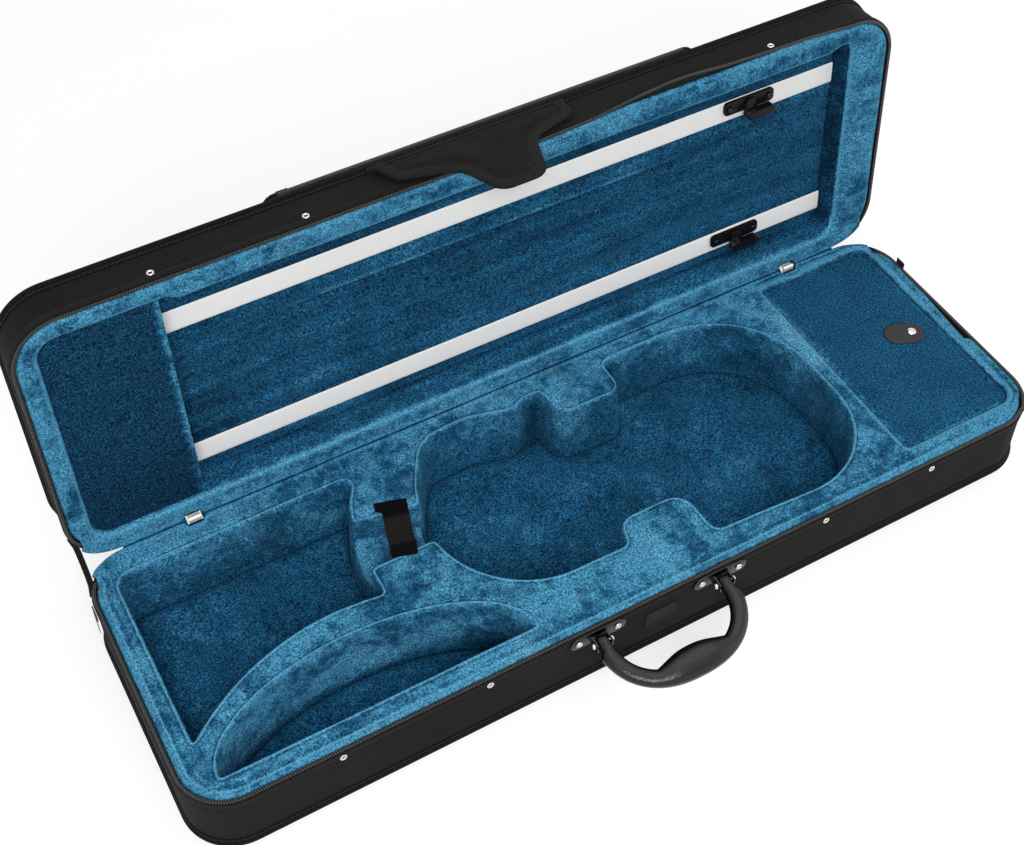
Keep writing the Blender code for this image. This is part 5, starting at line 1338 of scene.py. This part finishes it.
class VIOLINCASE_OT_bow_holders(bpy.types.Operator):
    """Finishes the screwed plates and the turning bars that hold two bows"""

    bl_idname = "violin_case.bow_holders"
    bl_label = "Bow Holders"

    def execute(self, context):
        face = TRAY_DEPTH - 2 * CLEAR - 0.0012 - 0.0025
        head = [(0.0030, -0.0006), (0.0031, 0.0006), (0.0027, 0.0013), (0.0018, 0.0017), (0.0009, 0.0012), (0.0002, 0.0011)]
        for side, x, y in (("upper", 0.2575, -0.066), ("lower", 0.251, 0.078)):
            refined(f"bow_holder_plate_{side}", finish("Black Plastic"), 0.0005)
            spinner = refined(f"bow_spinner_{side}", finish("Black Plastic"), 0.0006)
            reshape(spinner, lambda p: self.settle(p, y, LID_RIM + face))
            centres = [(x - 0.02025, y, face), (x + 0.02025, y, face)]
            parts = turned(np.array(head) * (1, 1) + (0, 0.0008), centres, (0, 0, -1), 20)
            seat(build(f"bow_holder_screws_{side}", parts, finish("Dark Plating"), lid_place), "lid")
        return {"FINISHED"}

    @staticmethod
    def settle(points, middle, face):
        """Bar and hub: the hub is worn down to a third, the arm rises from it, and the bar lies close beside it."""
        place = closed(points)
        out = smooth((place[:, 1] - middle - 0.0030) / 0.0040)
        place[:, 2] = face + (place[:, 2] - face) * (0.32 + 0.62 * out)
        place += np.stack([-0.0042 * out, -0.0026 * out, 0 * out], axis=1)
        return opened(place)


def shell_section(face, rim, inner, away):
    """Section of a shell wall: face, rounded edge, wall, rolled rim, inner wall; away is 1 upward, -1 downward."""
    rows = [(-0.040, face), (-0.012, face)]
    turn = np.radians(np.linspace(0, 90, 7))
    rows += [(-EDGE_ROUND * (1 - math.sin(a)), face + away * EDGE_ROUND * (1 - math.cos(a))) for a in turn]
    rows += [(0, face + (rim - face) * share) for share in (0.35, 0.6, 0.85)]
    rows += [(0, rim - away * 0.0012), (-0.0005, rim - away * 0.0003), (-0.0015, rim)]
    rows += [(-WALL + 0.0004, rim - away * 0.0003), (-WALL, rim - away * 0.0012), (-WALL, inner)]
    return rows


class VIOLINCASE_OT_shells(bpy.types.Operator):
    """Builds the fabric shells of the base and the lid"""

    bl_idname = "violin_case.shells"
    bl_label = "Shells"

    def execute(self, context):
        outline = even(shell_outline(), 0.004)
        wide = shell_section(0.0, BASE_RIM - SHELL_BELOW_RIM, WALL, 1)
        side = carry(outline, wide)
        parts = [grid_part(side), cap(side[0, :-1]), cap(side[-1, :-1])]
        base = build("base_fabric", parts, finish("Black Fabric"), sharp=60)
        seat(base, "base", ["base_shell"])
        wide = shell_section(LID_DEPTH, SHELL_BELOW_RIM, LID_DEPTH - WALL, -1)
        side = carry(outline, wide)
        parts = [grid_part(side), cap(side[0, :-1]), cap(side[-1, :-1])]
        lid = build("lid_fabric", parts, finish("Black Fabric"), lid_place, sharp=60)
        seat(lid, "lid", ["lid_shell"])
        self.patch()
        return {"FINISHED"}

    @staticmethod
    def patch():
        """Bare rubber patch between the handle's brackets: a thin rounded plate with a raised border."""
        outline = even(box_outline(-0.014, 0.016, 0.0285, 0.0495, 0.002), 0.001)
        out = HALF_WIDTH + 0.0002
        profile = [(0.0, out - 0.0001), (0.0, out + 0.0005), (-0.0003, out + 0.0008), (-0.0012, out + 0.0008)]
        profile += [(-0.0016, out + 0.0004), (-0.0022, out + 0.0003)]
        side = carry(outline, profile)
        parts = [grid_part(side), cap(side[0, :-1]), cap(side[-1, :-1])]
        patch = build("bare_patch", parts, finish("Bare Rubber"), front_place, sharp=50)
        seat(patch, "base")


def binding_section():
    """Edge binding from the face round the edge to its sewn flange on the wall: (outward offset, from the face)."""
    outer = [(-0.0052, -0.0002), (-0.0030, 0.0004), (-0.0008, 0.0012), (0.0012, 0.0030), (0.0024, 0.0052)]
    outer += [(0.0022, 0.0074), (0.0009, 0.0088), (0.0010, 0.0108), (0.0008, 0.0122), (0.0003, 0.0126)]
    inner = [(0.0001, 0.0124), (0.0001, 0.0062), (-0.0006, 0.0034), (-0.0024, 0.0014), (-0.0050, 0.0003)]
    return np.vstack([eased(outer, 2), eased(inner, 1)])


class VIOLINCASE_OT_bindings(bpy.types.Operator):
    """Builds the ribbed bindings of both outer edges with their stitched seams"""

    bl_idname = "violin_case.bindings"
    bl_label = "Edge Bindings"

    def execute(self, context):
        outline = even(shell_outline(), 0.003)
        section = binding_section()
        pitch = looks().stitch_pitch
        for name, body, face, away, place in (("base", "base", 0.0, 1, None), ("lid", "lid", LID_DEPTH, -1, lid_place)):
            rows = section * (1, away) + (0, face)
            if name == "base":
                rows[:, 1] = np.maximum(rows[:, 1], 0.0)
            band = build(f"{name}_edge_binding", tube(outline, rows), finish("Edge Ribbon"), place, sharp=70)
            seat(band, body, [f"{name}_binding"])
            line = carry(outline, [(0.0011, face + away * 0.0110)])[0]
            normal = np.column_stack([directions(outline)[1], np.zeros(len(outline))])
            parts = [stitches(line, np.vstack([normal, normal[:1]]), pitch)]
            seat(build(f"{name}_edge_stitches", parts, finish("Thread"), place, weld=0), body)
        return {"FINISHED"}


class VIOLINCASE_OT_zip(bpy.types.Operator):
    """Builds the zip: a ribbed tape folded over each rim, its coil, seams and sliders"""

    bl_idname = "violin_case.zip"
    bl_label = "Zip"

    def execute(self, context):
        path = zip_path(0.1195)
        look = looks()
        tape = [(0.0003, 0.0078), (0.0005, 0.0078), (0.0006, 0.0056), (0.0010, 0.0042), (0.0012, 0.0022)]
        tape += [(0.0010, 0.0008), (0.0002, -0.0002), (-0.0014, 0.0000), (-0.0022, 0.0020), (0.0003, 0.0025)]
        share = np.array([0, 0, 0, 0.05, 0.4, 0.85, 1.0, 1.0, 0.5, 0.0])[:, None]
        tape = np.array(tape)
        for name, body, rim, away, place in (("base", "base", BASE_RIM, -1, None), ("lid", "lid", 0.0, 1, lid_place)):
            shift = self.slack(name, path)
            rows = tape * (1, away) + (0, rim)
            parts = tube(path, rows, False, share * shift)
            band = build(f"{name}_zip_band", parts, finish("Zip Tape"), place, sharp=60)
            seat(band, body, [f"{name}_zip_tape"])
            track = path + directions(path, False)[1] * shift[:, None]
            track = track[path[:, 1] < 0.1055]
            centre = (-0.0012, rim - away * 0.0001)
            teeth = ribs(track, look.coil_pitch, centre, -away, radius=0.0016, width=0.0006, flat=0.40)
            coil = build(f"{name}_zip_coil", [teeth], finish("Coil Nylon"), place, weld=0)
            seat(coil, body)
            line = carry(path, [(0.0007, rim + away * 0.0064)], closed=False)[0]
            normal = np.column_stack([directions(path, False)[1], np.zeros(len(path))])
            seam = [stitches(line, normal, look.stitch_pitch * 0.8, 0.0024, 0.00028)]
            seat(build(f"{name}_zip_stitches", seam, finish("Thread"), place, weld=0), body)
        for side in ("left", "right"):
            wall = np.array([(HALF_LENGTH + 0.0022) * (-1 if side == "left" else 1), 0, 0])
            slider = refined(f"zip_slider_{side}", finish("Soft Rubber"), 0.0006)
            reshape(slider, lambda p: wall + (p - wall) * (0.3, 1, 1))
            self.tail(side)
        self.strap()
        return {"FINISHED"}

    @staticmethod
    def slack(name, path):
        """How far the coil lies out from its place along the rim: it follows the plush, and flares on the lid."""
        x, y = path.T
        normal = directions(path, False)[1]
        if name == "base":
            return np.where(normal[:, 0] > 0.6, 0.0014, 0.0)
        front = smooth((-normal[:, 1] - 0.7) / 0.2)
        flare = np.interp(x, [0.04, 0.09, 0.13, 0.16, 0.18, 0.215, 0.26, 0.30, 0.345],
                          [0.0, 0.0020, 0.0075, 0.0104, 0.0104, 0.0070, 0.0048, 0.0040, 0.0])
        window = np.hanning(9) / np.hanning(9).sum()
        return np.convolve(flare * front, window, "same")

    @staticmethod
    def tail(side):
        """End of the tape: a narrow band round a rear corner, on the base's wall, with soft edges."""
        sign = -1 if side == "left" else 1
        angle = np.radians(np.linspace(69.5, 90, 12))
        corner = np.array([HALF_LENGTH - CORNER, HALF_WIDTH - CORNER])
        path = corner + CORNER * np.stack([np.cos(angle), np.sin(angle)], axis=1)
        path = np.vstack([path, [[SPINE_END + 0.0006, HALF_WIDTH]]]) * (sign, 1)
        path = path if sign > 0 else path[::-1]
        top = BASE_RIM - SHELL_BELOW_RIM
        section = [(0.0003, top - 0.0072), (0.0010, top - 0.0070), (0.0011, top - 0.0004), (0.0003, top)]
        tail = build(f"zip_end_{side}", tube(-path[::-1] * (-1, -1), section, False), finish("Zip Tape"), sharp=60)
        seat(tail, "base", [f"zip_tail_{side}"])

    @staticmethod
    def strap():
        """Strap of tape across the open rear corner: a straight ribbed band from the base's rim to the lid's."""
        base = np.array([(-0.3897, 0.0950), (-0.3886, 0.1005), (-0.3872, 0.1060)])
        low = np.column_stack([base, BASE_RIM - np.array([0.0030, 0.0020, 0.0010])])
        high = lid_place(np.column_stack([base, [0.0030, 0.0020, 0.0010]]))[::-1]
        track = eased(np.vstack([low, high]), 3)
        run, _ = directions(track[:, 1:], False)
        across = np.column_stack([np.zeros(len(run)), -run[:, 1], run[:, 0]])
        section = eased([(-0.0024, -0.0005), (0.0024, -0.0005), (0.0024, 0.0005), (-0.0024, 0.0005)], 2, True)
        side = np.array([1.0, 0.0, 0.0])
        grid = track[None] + side * section[:, 0][:, None, None] + across * section[:, 1][:, None, None]
        grid = np.concatenate([grid, grid[:1]])
        parts = [grid_part(grid), cap(grid[:-1, 0]), cap(grid[:-1, -1])]
        strap = build("zip_corner_strap", parts, finish("Flap Ribbon"), sharp=60)
        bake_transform(strap)


class VIOLINCASE_OT_spine(bpy.types.Operator):
    """Builds the cloth spine along the back, notched round the hinges, and finishes the hinges"""

    bl_idname = "violin_case.spine"
    bl_label = "Spine and Hinges"

    def execute(self, context):
        breaks = [-SPINE_END, *(x + side * HINGE_NOTCH for x in HINGES_X for side in (-1, 1)), SPINE_END]
        x = np.concatenate([np.arange(a, b - 0.002, 0.005) for a, b in zip(breaks, breaks[1:])] + [[breaks[-1]]])
        y = HALF_WIDTH + CLEAR
        up = [(y, z) for z in np.r_[np.linspace(0.0468, 0.0493, 3), np.linspace(0.052, 0.0628, 5)]]
        depths = np.r_[np.linspace(0.0060, 0.017, 5), np.linspace(0.0177, 0.0202, 3)]
        lid = lid_place(np.stack([0 * depths, y + 0 * depths, depths], axis=1))
        fold = [(y + 0.0006, 0.0637), (y + 0.0016, 0.0646), (y + 0.0028, 0.0654), (y + 0.0044, 0.0661)]
        fold += [(y + 0.0057, 0.0669), (y + 0.0068, 0.0676)]
        path = np.vstack([up, fold, lid[:, 1:]])
        normal = directions(path, False)[1]
        middle = (x[1:] + x[:-1]) / 2
        open_x = ((middle > breaks[1]) & (middle < breaks[2])) | ((middle > breaks[3]) & (middle < breaks[4]))
        count = len(path)
        order = np.r_[np.arange(count), np.arange(count)[::-1], 0]
        first, last = np.minimum(order[:-1], order[1:]), np.maximum(order[:-1], order[1:])
        open_row = (first >= 2) & (last <= count - 3)
        keep = ~(open_row[:, None] & open_x[None])
        layers = (("spine_cloth", 0.0003, 0.0007, "Black Fabric"), ("spine_lining", 0.0, 0.00025, "Blue Plush"))
        for name, low, high, cover in layers:
            ring = np.vstack([path + normal * high, (path + normal * low)[::-1], path[:1] + normal[:1] * high])
            grid = np.stack(np.broadcast_arrays(x, ring[:, :1], ring[:, 1:]), axis=2)
            # Tone 0.25 darkens the plush layer as painted shade in the hinge gap; the black cloth does not read tone.
            cloth = build(name, [grid_part(grid, 0.25, keep)], finish(cover), sharp=60)
            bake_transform(cloth)
            if name == "spine_cloth":
                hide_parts("spine_base", "spine_lid")
        for side, middle in zip(("left", "right"), HINGES_X):
            for node in (f"hinge_base_leaf_{side}", f"hinge_lid_leaf_{side}", f"hinge_pin_{side}"):
                # The hinges take the pale nickel whose colour is a painted reflection.
                piece = refined(node, finish("Painted Bright Nickel"), 0.00015)
                reshape(piece, lambda p: p * (HINGE_SHARE, 1, 1) + (middle * (1 - HINGE_SHARE), 0, 0))
        return {"FINISHED"}


RIVET_HEAD = [
    (0.0030, 0.0), (0.0031, 0.0003), (0.0030, 0.0008), (0.0026, 0.0012), (0.0020, 0.0012), (0.0016, 0.0008),
    (0.0014, 0.0004), (0.0008, 0.0003), (0.0001, 0.0003),
]
# Dark disc in the rivet's dimple: painted shade standing in for the eyelet's hole.
RIVET_HOLE_SHADE = [(0.0013, 0.0003), (0.0013, 0.0006), (0.0001, 0.0006)]


class VIOLINCASE_OT_rivets(bpy.types.Operator):
    """Builds the eyelet rivets along the fronts of the base and the lid, each with a dark disc of painted shade in its
    hole
    """

    bl_idname = "violin_case.rivets"
    bl_label = "Rivets"

    def execute(self, context):
        rows = [("base", (-0.2765, -0.154, 0.1598, 0.2698), BASE_RIM - 0.0078, None)]
        rows.append(("lid", (-0.2768, -0.1544, 0.268), LID_RIM + 0.0098, opened))
        for name, places, z, place in rows:
            centres = [(x, -HALF_WIDTH - 0.0002, z) for x in places]
            heads = build(f"{name}_side_rivets", turned(RIVET_HEAD, centres, (0, -1, 0)), finish("Nickel"), place)
            seat(heads, name, [f"{name}_side_rivet_{k + 1}" for k in range(len(places))])
            hole_shades = turned(RIVET_HOLE_SHADE, centres, (0, -1, 0), 16)
            seat(build(f"{name}_rivet_hole_shades", hole_shades, finish("Black Plastic"), place), name)
        return {"FINISHED"}


def flap_outline():
    """Handle flap in the plane of the front wall: (x, height of the closed lid), a tongue between two hollows."""
    corners = [
        (-0.0195, -0.0486, 0.016), (0.0220, -0.0486, 0.016), (0.0359, -0.0030, 0.020), (0.0783, 0.0083, 0.008),
        (0.0780, FLAP_ROOT, 0.0), (-0.0905, FLAP_ROOT, 0.0), (-0.0800, 0.0050, 0.008), (-0.0334, -0.0100, 0.020),
    ]
    return rounded([(x, LID_RIM + rise, radius) for x, rise, radius in corners])


class VIOLINCASE_OT_flap(bpy.types.Operator):
    """Builds the padded flap over the handle's place with its ribbed binding and sewn root"""

    bl_idname = "violin_case.flap"
    bl_label = "Handle Flap"

    def execute(self, context):
        root = LID_RIM + FLAP_ROOT
        inner, outer = 0.1292, 0.1313
        outline = even(flap_outline(), 0.0015, 0.0008)
        outline[:, 1] = np.minimum(outline[:, 1], root)
        profile = [(-0.003, inner), (-0.003, outer - 0.0004), (-0.0036, outer)]
        side = carry(outline, profile)
        ring = side[-1, :-1, :2]

        def pad(x, z):
            """Padding: up to 1.2 mm proud away from the edge, in slow waves."""
            apart = np.sqrt(((np.stack([x, z], 1)[:, None] - outline[None, ::3]) ** 2).sum(axis=2)).min(axis=1)
            rise = smooth((apart - 0.006) / 0.014)
            return outer + 0.0014 * rise * (1 + 0.25 * np.sin(90 * x + 60 * z) + 0.2 * np.sin(170 * x - 90 * z))

        parts = [grid_part(side), cap(side[0, :-1]), fill([ring], 0.0035, pad)]
        panel = build("flap_pad", parts, finish("Black Fabric"), lambda p: opened(front_place(p)), sharp=60)
        seat(panel, "flap", ["flap_panel"])
        gap = outline[:, 1] > root - 1e-4
        path = cut_open(outline, gap)
        middle = (inner + outer) / 2
        section = [(-0.0088, middle + 0.0010), (-0.0080, middle + 0.0016), (-0.0040, middle + 0.0019)]
        section += [(-0.0012, middle + 0.0015), (0.0, middle + 0.0004), (-0.0003, middle - 0.0009)]
        section += [(-0.0020, middle - 0.0014), (-0.0080, middle - 0.0013), (-0.0088, middle - 0.0010)]
        parts = tube(path, eased(section, 2, True), closed=False)
        band = build("flap_edge_binding", parts, finish("Flap Ribbon"), lambda p: opened(front_place(p)), sharp=70)
        seat(band, "flap", ["flap_binding"])
        line = carry(path, [(-0.0079, middle + 0.0018)], closed=False)[0]
        seam = [stitches(line, np.array([0, 0, 1.0]), looks().stitch_pitch * 0.8, 0.0025)]
        stitching = build("flap_stitches", seam, finish("Thread"), lambda p: opened(front_place(p)), weld=0)
        seat(stitching, "flap")
        strip = even(box_outline(-0.0935, 0.081, root + 0.0005, root + 0.0039, 0.0006), 0.001)
        out = HALF_WIDTH + CLEAR
        side = carry(strip, [(0, out), (0, out + 0.0042), (-0.0004, out + 0.0047), (-0.0010, out + 0.0049)])
        parts = [grid_part(side), cap(side[0, :-1]), cap(side[-1, :-1])]
        sewn = build("flap_root_ribbon", parts, finish("Flap Ribbon"), lambda p: opened(front_place(p)), sharp=60)
        seat(sewn, "lid", ["flap_root_strip"])
        return {"FINISHED"}


class VIOLINCASE_OT_handle(bpy.types.Operator):
    """Builds the moulded grip and finishes its loops, brackets and rivets"""

    bl_idname = "violin_case.handle"
    bl_label = "Handle"

    def execute(self, context):
        last = math.acos((GRIP_WAIST_REACH / GRIP_REACH) ** (GRIP_SQUARENESS / 2))
        turn = np.linspace(-last, last, 141)
        power = 2 / GRIP_SQUARENESS
        across, depth = abs(np.sin(turn)), abs(np.cos(turn))
        outer = np.stack([GRIP_HALF_SPAN * across**power, -GRIP_REACH * depth**power], axis=1)
        slope = power * (GRIP_SQUARENESS - 1)
        normal = np.stack([across**slope / GRIP_HALF_SPAN, -(depth**slope) / GRIP_REACH], axis=1)
        flip = np.stack([np.where(turn < 0, -1, 1), np.ones(len(turn))], axis=1)
        outer, normal = outer * flip, normal * flip / np.linalg.norm(normal, axis=1)[:, None]
        width = 0.0142 + 0.0122 * np.clip(1 - (abs(outer[:, 0]) / 0.0375) ** 2.2, 0, None)
        height = 0.0120 + 0.0070 * smooth((0.044 - abs(outer[:, 0])) / 0.030)
        middle = outer - normal * width[:, None] / 2
        ends = []
        for side in (-1, 1):
            sink = np.array([-0.0075, -0.0042, 0.0, 0.0022, 0.0038, 0.0048, 0.0055])
            reach = np.sqrt(np.clip(1 - (np.clip(sink, 0, None) / GRIP_END_RADIUS) ** 2, 0.02, 1))
            plan = np.stack([np.full(len(sink), side * BRACKET_SPREAD), sink], axis=1)
            ends.append((plan, np.full((len(sink), 2), (side, 0.0)), 0.011 * (0.8 + 0.2 * reach), 0.0116 * reach))
        pieces = ([end[::-1] for end in ends[0]], (middle, normal, width, height), ends[1])
        middle, normal, width, height = (np.concatenate([piece[k] for piece in pieces]) for k in range(4))
        ring = np.linspace(0, 2 * math.pi, 49)
        c, s = np.cos(ring), np.sin(ring)
        side = np.sign(c) * abs(c) ** 0.92
        up = np.sign(s) * abs(s) ** 0.92
        seam = 1 - 0.045 * np.exp(-(((ring - math.radians(30)) / 0.06) ** 2))
        plan = middle[:, None] + normal[:, None] * (width[:, None] / 2 * side[None] * seam[None])[:, :, None]
        lift = height[:, None] / 2 * up[None] * seam[None]
        grid = np.concatenate([plan, lift[:, :, None]], axis=2)
        parts = [grid_part(grid), cap(grid[0, :-1]), cap(grid[-1, :-1])]
        grip = build("handle_grip_moulding", parts, finish("Moulded Grip"), handle_place, sharp=60)
        seat(grip, "handle", ["handle_grip"])
        head = np.array(RIVET_HEAD) * 0.95
        for side in ("left", "right"):
            step = -1 if side == "left" else 1
            refined(f"handle_loop_{side}", finish("Nickel"), 0.0003)
            refined(f"handle_bracket_{side}", finish("Dark Plating"), 0.0004)
            middle = HANDLE[0] + step * BRACKET_SPREAD
            centres = [(middle + k * 0.0175, -HALF_WIDTH - 0.0028, BRACKET_Z) for k in (-1, 1)]
            rivets = build(f"bracket_rivets_{side}", turned(head, centres, (0, -1, 0)), finish("Nickel"))
            seat(rivets, "base", [f"bracket_rivet_{side}_{end}" for end in ("outer", "inner")])
        return {"FINISHED"}


class VIOLINCASE_OT_music_pocket(bpy.types.Operator):
    """Builds the flat pocket on the lid's outer face with its binding, zip and slider"""

    bl_idname = "violin_case.music_pocket"
    bl_label = "Music Pocket"

    def execute(self, context):
        left, right, front, rear = -0.174, 0.222, -0.118, 0.093
        face = LID_DEPTH + CLEAR
        deep = 0.012
        outline = even(box_outline(left, right, front, rear, 0.012), 0.004)
        rows = [(-0.002, face), (0.0, face), (0.0, face + 0.003), (0.0, face + deep - 0.003)]
        rows += [(-0.0004, face + deep - 0.0016), (-0.0013, face + deep - 0.0005), (-0.0030, face + deep)]
        side = carry(outline, rows)
        ring = side[-1, :-1, :2]

        def puff(x, y):
            """Pocket: a gentle crown over its gusset, slack in long waves."""
            edge = np.minimum(np.minimum(x - left, right - x), np.minimum(y - front, rear - y))
            rise = smooth(edge / 0.045)
            return face + deep + rise * (0.0016 + 0.0004 * np.sin(30 * x + 20 * y) + 0.0004 * np.sin(75 * y))

        parts = [grid_part(side), cap(side[0, :-1]), fill([ring], 0.006, puff)]
        pocket = build("music_pocket_cloth", parts, finish("Black Fabric"), lid_place, sharp=60)
        seat(pocket, "lid", ["music_pocket"])
        ribbon = eased([(-0.0042, 0.0118), (-0.0030, 0.0129), (-0.0004, 0.0122), (0.0007, 0.0098), (0.0004, 0.0080)], 2)
        rows = np.vstack([ribbon, [(0.0001, 0.0082), (-0.0010, 0.0108), (-0.0030, 0.0118)]]) + (0, face)
        band = build("music_pocket_binding", tube(outline, rows), finish("Edge Ribbon"), lid_place, sharp=60)
        seat(band, "lid")
        low = LID_RIM + face + 0.0030
        strip = even(box_outline(left + 0.012, right - 0.012, low, low + 0.0046, 0.0006), 0.002)
        out = -front + CLEAR
        side = carry(strip, [(0, out), (0, out + 0.0009), (-0.0004, out + 0.0011), (-0.0010, out + 0.0012)])
        parts = [grid_part(side), cap(side[0, :-1]), cap(side[-1, :-1])]
        tape = build("music_pocket_tape", parts, finish("Zip Tape"), lambda p: opened(front_place(p)), sharp=60)
        seat(tape, "lid", ["music_pocket_zip"])
        line = np.stack([np.linspace(left + 0.014, right - 0.014, 200), np.full(200, low + 0.0033)], axis=1)
        coil = ribs(line, looks().coil_pitch, (0.0, out + 0.0007), 1, radius=0.0019, width=0.0005)
        coil = build("music_pocket_coil", [coil], finish("Coil Nylon"), lambda p: opened(front_place(p)), weld=0)
        seat(coil, "lid")
        wall = np.array([0, front, 0])
        slider = refined("pocket_slider", finish("Dark Plating"), 0.0004)
        reshape(slider, lambda p: opened(wall + (closed(p) - wall) * (1, 0.45, 1)))
        return {"FINISHED"}


class VIOLINCASE_OT_stage(bpy.types.Operator):
    """Lays the pale floor, soft lamps and camera"""

    bl_idname = "violin_case.stage"
    bl_label = "Stage"

    def execute(self, context):
        scene = context.scene
        mesh = bpy.data.meshes.new("floor")
        size = 14.0
        mesh.from_pydata([(-size, -size, 0), (size, -size, 0), (size, size, 0), (-size, size, 0)], [], [(0, 1, 2, 3)])
        floor = bpy.data.objects.new("floor", mesh)
        floor.location.z = -0.0005
        scene.collection.objects.link(floor)
        material, n, shader = new_finish("Pale Floor", Roughness=0.9)
        shader.inputs["Base Color"].default_value = (0.45, 0.45, 0.45, 1.0)
        seen = n.add("LightPath").outputs
        shown = n.math("MAXIMUM", seen["Is Camera Ray"], n.math("MAXIMUM", seen["Is Glossy Ray"], seen["Is Transmission Ray"]))
        shader.inputs["Emission Color"].default_value = (1, 1, 1, 1)
        n.put(shader.inputs["Emission Strength"], n.math("MULTIPLY", shown, 0.62))
        mesh.materials.append(material)
        world = bpy.data.worlds.new("studio")
        scene.world = world
        world.use_nodes = True
        w = Nodes(world.node_tree)
        seen = w.add("LightPath").outputs
        shown = w.math("MAXIMUM", seen["Is Camera Ray"], w.math("MAXIMUM", seen["Is Glossy Ray"], seen["Is Transmission Ray"]))
        back = world.node_tree.nodes["Background"]
        back.inputs["Color"].default_value = (1, 1, 1, 1)
        w.put(back.inputs["Strength"], w.math("ADD", 0.36, w.math("MULTIPLY", shown, 0.64)))
        for name, place, aim, width, power in (
            ("key", (-0.8, -1.7, 1.9), (0.0, 0.05, 0.05), 1.2, 46.0),
            ("top", (0.5, 0.2, 2.4), (0.0, 0.0, 0.05), 2.0, 14.0),
            ("fill", (1.9, -1.2, 1.0), (0.0, 0.0, 0.1), 1.5, 6.0),
        ):
            lamp = bpy.data.lights.new(name, "AREA")
            lamp.size = width
            lamp.energy = power
            obj = bpy.data.objects.new(name, lamp)
            obj.location = place
            obj.rotation_euler = (Vector(aim) - Vector(place)).to_track_quat("-Z", "Y").to_euler()
            scene.collection.objects.link(obj)
        camera = bpy.data.cameras.new("camera")
        camera.sensor_width = 36.0
        camera.lens = 1641.3 / 1024 * 36
        camera.shift_x = -0.0012
        camera.shift_y = -0.1037
        camera.clip_start, camera.clip_end = 0.05, 60.0
        obj = bpy.data.objects.new("camera", camera)
        azimuth, elevation = math.radians(-29.27), math.radians(46.58)
        back = Vector((math.sin(azimuth) * math.cos(elevation), -math.cos(azimuth) * math.cos(elevation), math.sin(elevation)))
        obj.location = (-0.4569, -0.7002, 1.1518)
        obj.rotation_euler = (-back).to_track_quat("-Z", "Y").to_euler()
        scene.collection.objects.link(obj)
        scene.camera = obj
        scene.view_settings.view_transform = "Standard"
        return {"FINISHED"}


PIECES = (
    VIOLINCASE_OT_finishes,
    VIOLINCASE_OT_base_lining,
    VIOLINCASE_OT_neck_rest,
    VIOLINCASE_OT_accessory_lid,
    VIOLINCASE_OT_lid_lining,
    VIOLINCASE_OT_bow_tip_pocket,
    VIOLINCASE_OT_bow_rails,
    VIOLINCASE_OT_bow_holders,
    VIOLINCASE_OT_shells,
    VIOLINCASE_OT_bindings,
    VIOLINCASE_OT_zip,
    VIOLINCASE_OT_spine,
    VIOLINCASE_OT_rivets,
    VIOLINCASE_OT_flap,
    VIOLINCASE_OT_handle,
    VIOLINCASE_OT_music_pocket,
    VIOLINCASE_OT_stage,
)


class VIOLINCASE_PT_panel(bpy.types.Panel):
    """Sidebar panel with the case's settings and pieces"""

    bl_idname = "VIOLINCASE_PT_panel"
    bl_label = "Violin Case"
    bl_space_type = "VIEW_3D"
    bl_region_type = "UI"
    bl_category = "Violin Case"

    def draw(self, context):
        column = self.layout.column()
        for name in VIOLINCASE_PG_looks.__annotations__:
            column.prop(looks(), name)
        for piece in PIECES:
            column.operator(piece.bl_idname)


CLASSES = (VIOLINCASE_PG_looks, *PIECES, VIOLINCASE_PT_panel)


def register():
    """Registers the settings, operators and panel."""
    for cls in CLASSES:
        bpy.utils.register_class(cls)
    bpy.types.Scene.violin_case_looks = PointerProperty(type=VIOLINCASE_PG_looks)


def unregister():
    """Takes them away again."""
    del bpy.types.Scene.violin_case_looks
    for cls in reversed(CLASSES):
        bpy.utils.unregister_class(cls)


def main():
    """Builds every piece in order."""
    register()
    for piece in PIECES:
        group, name = piece.bl_idname.split(".")
        getattr(getattr(bpy.ops, group), name)()


if __name__ == "__main__":
    main()
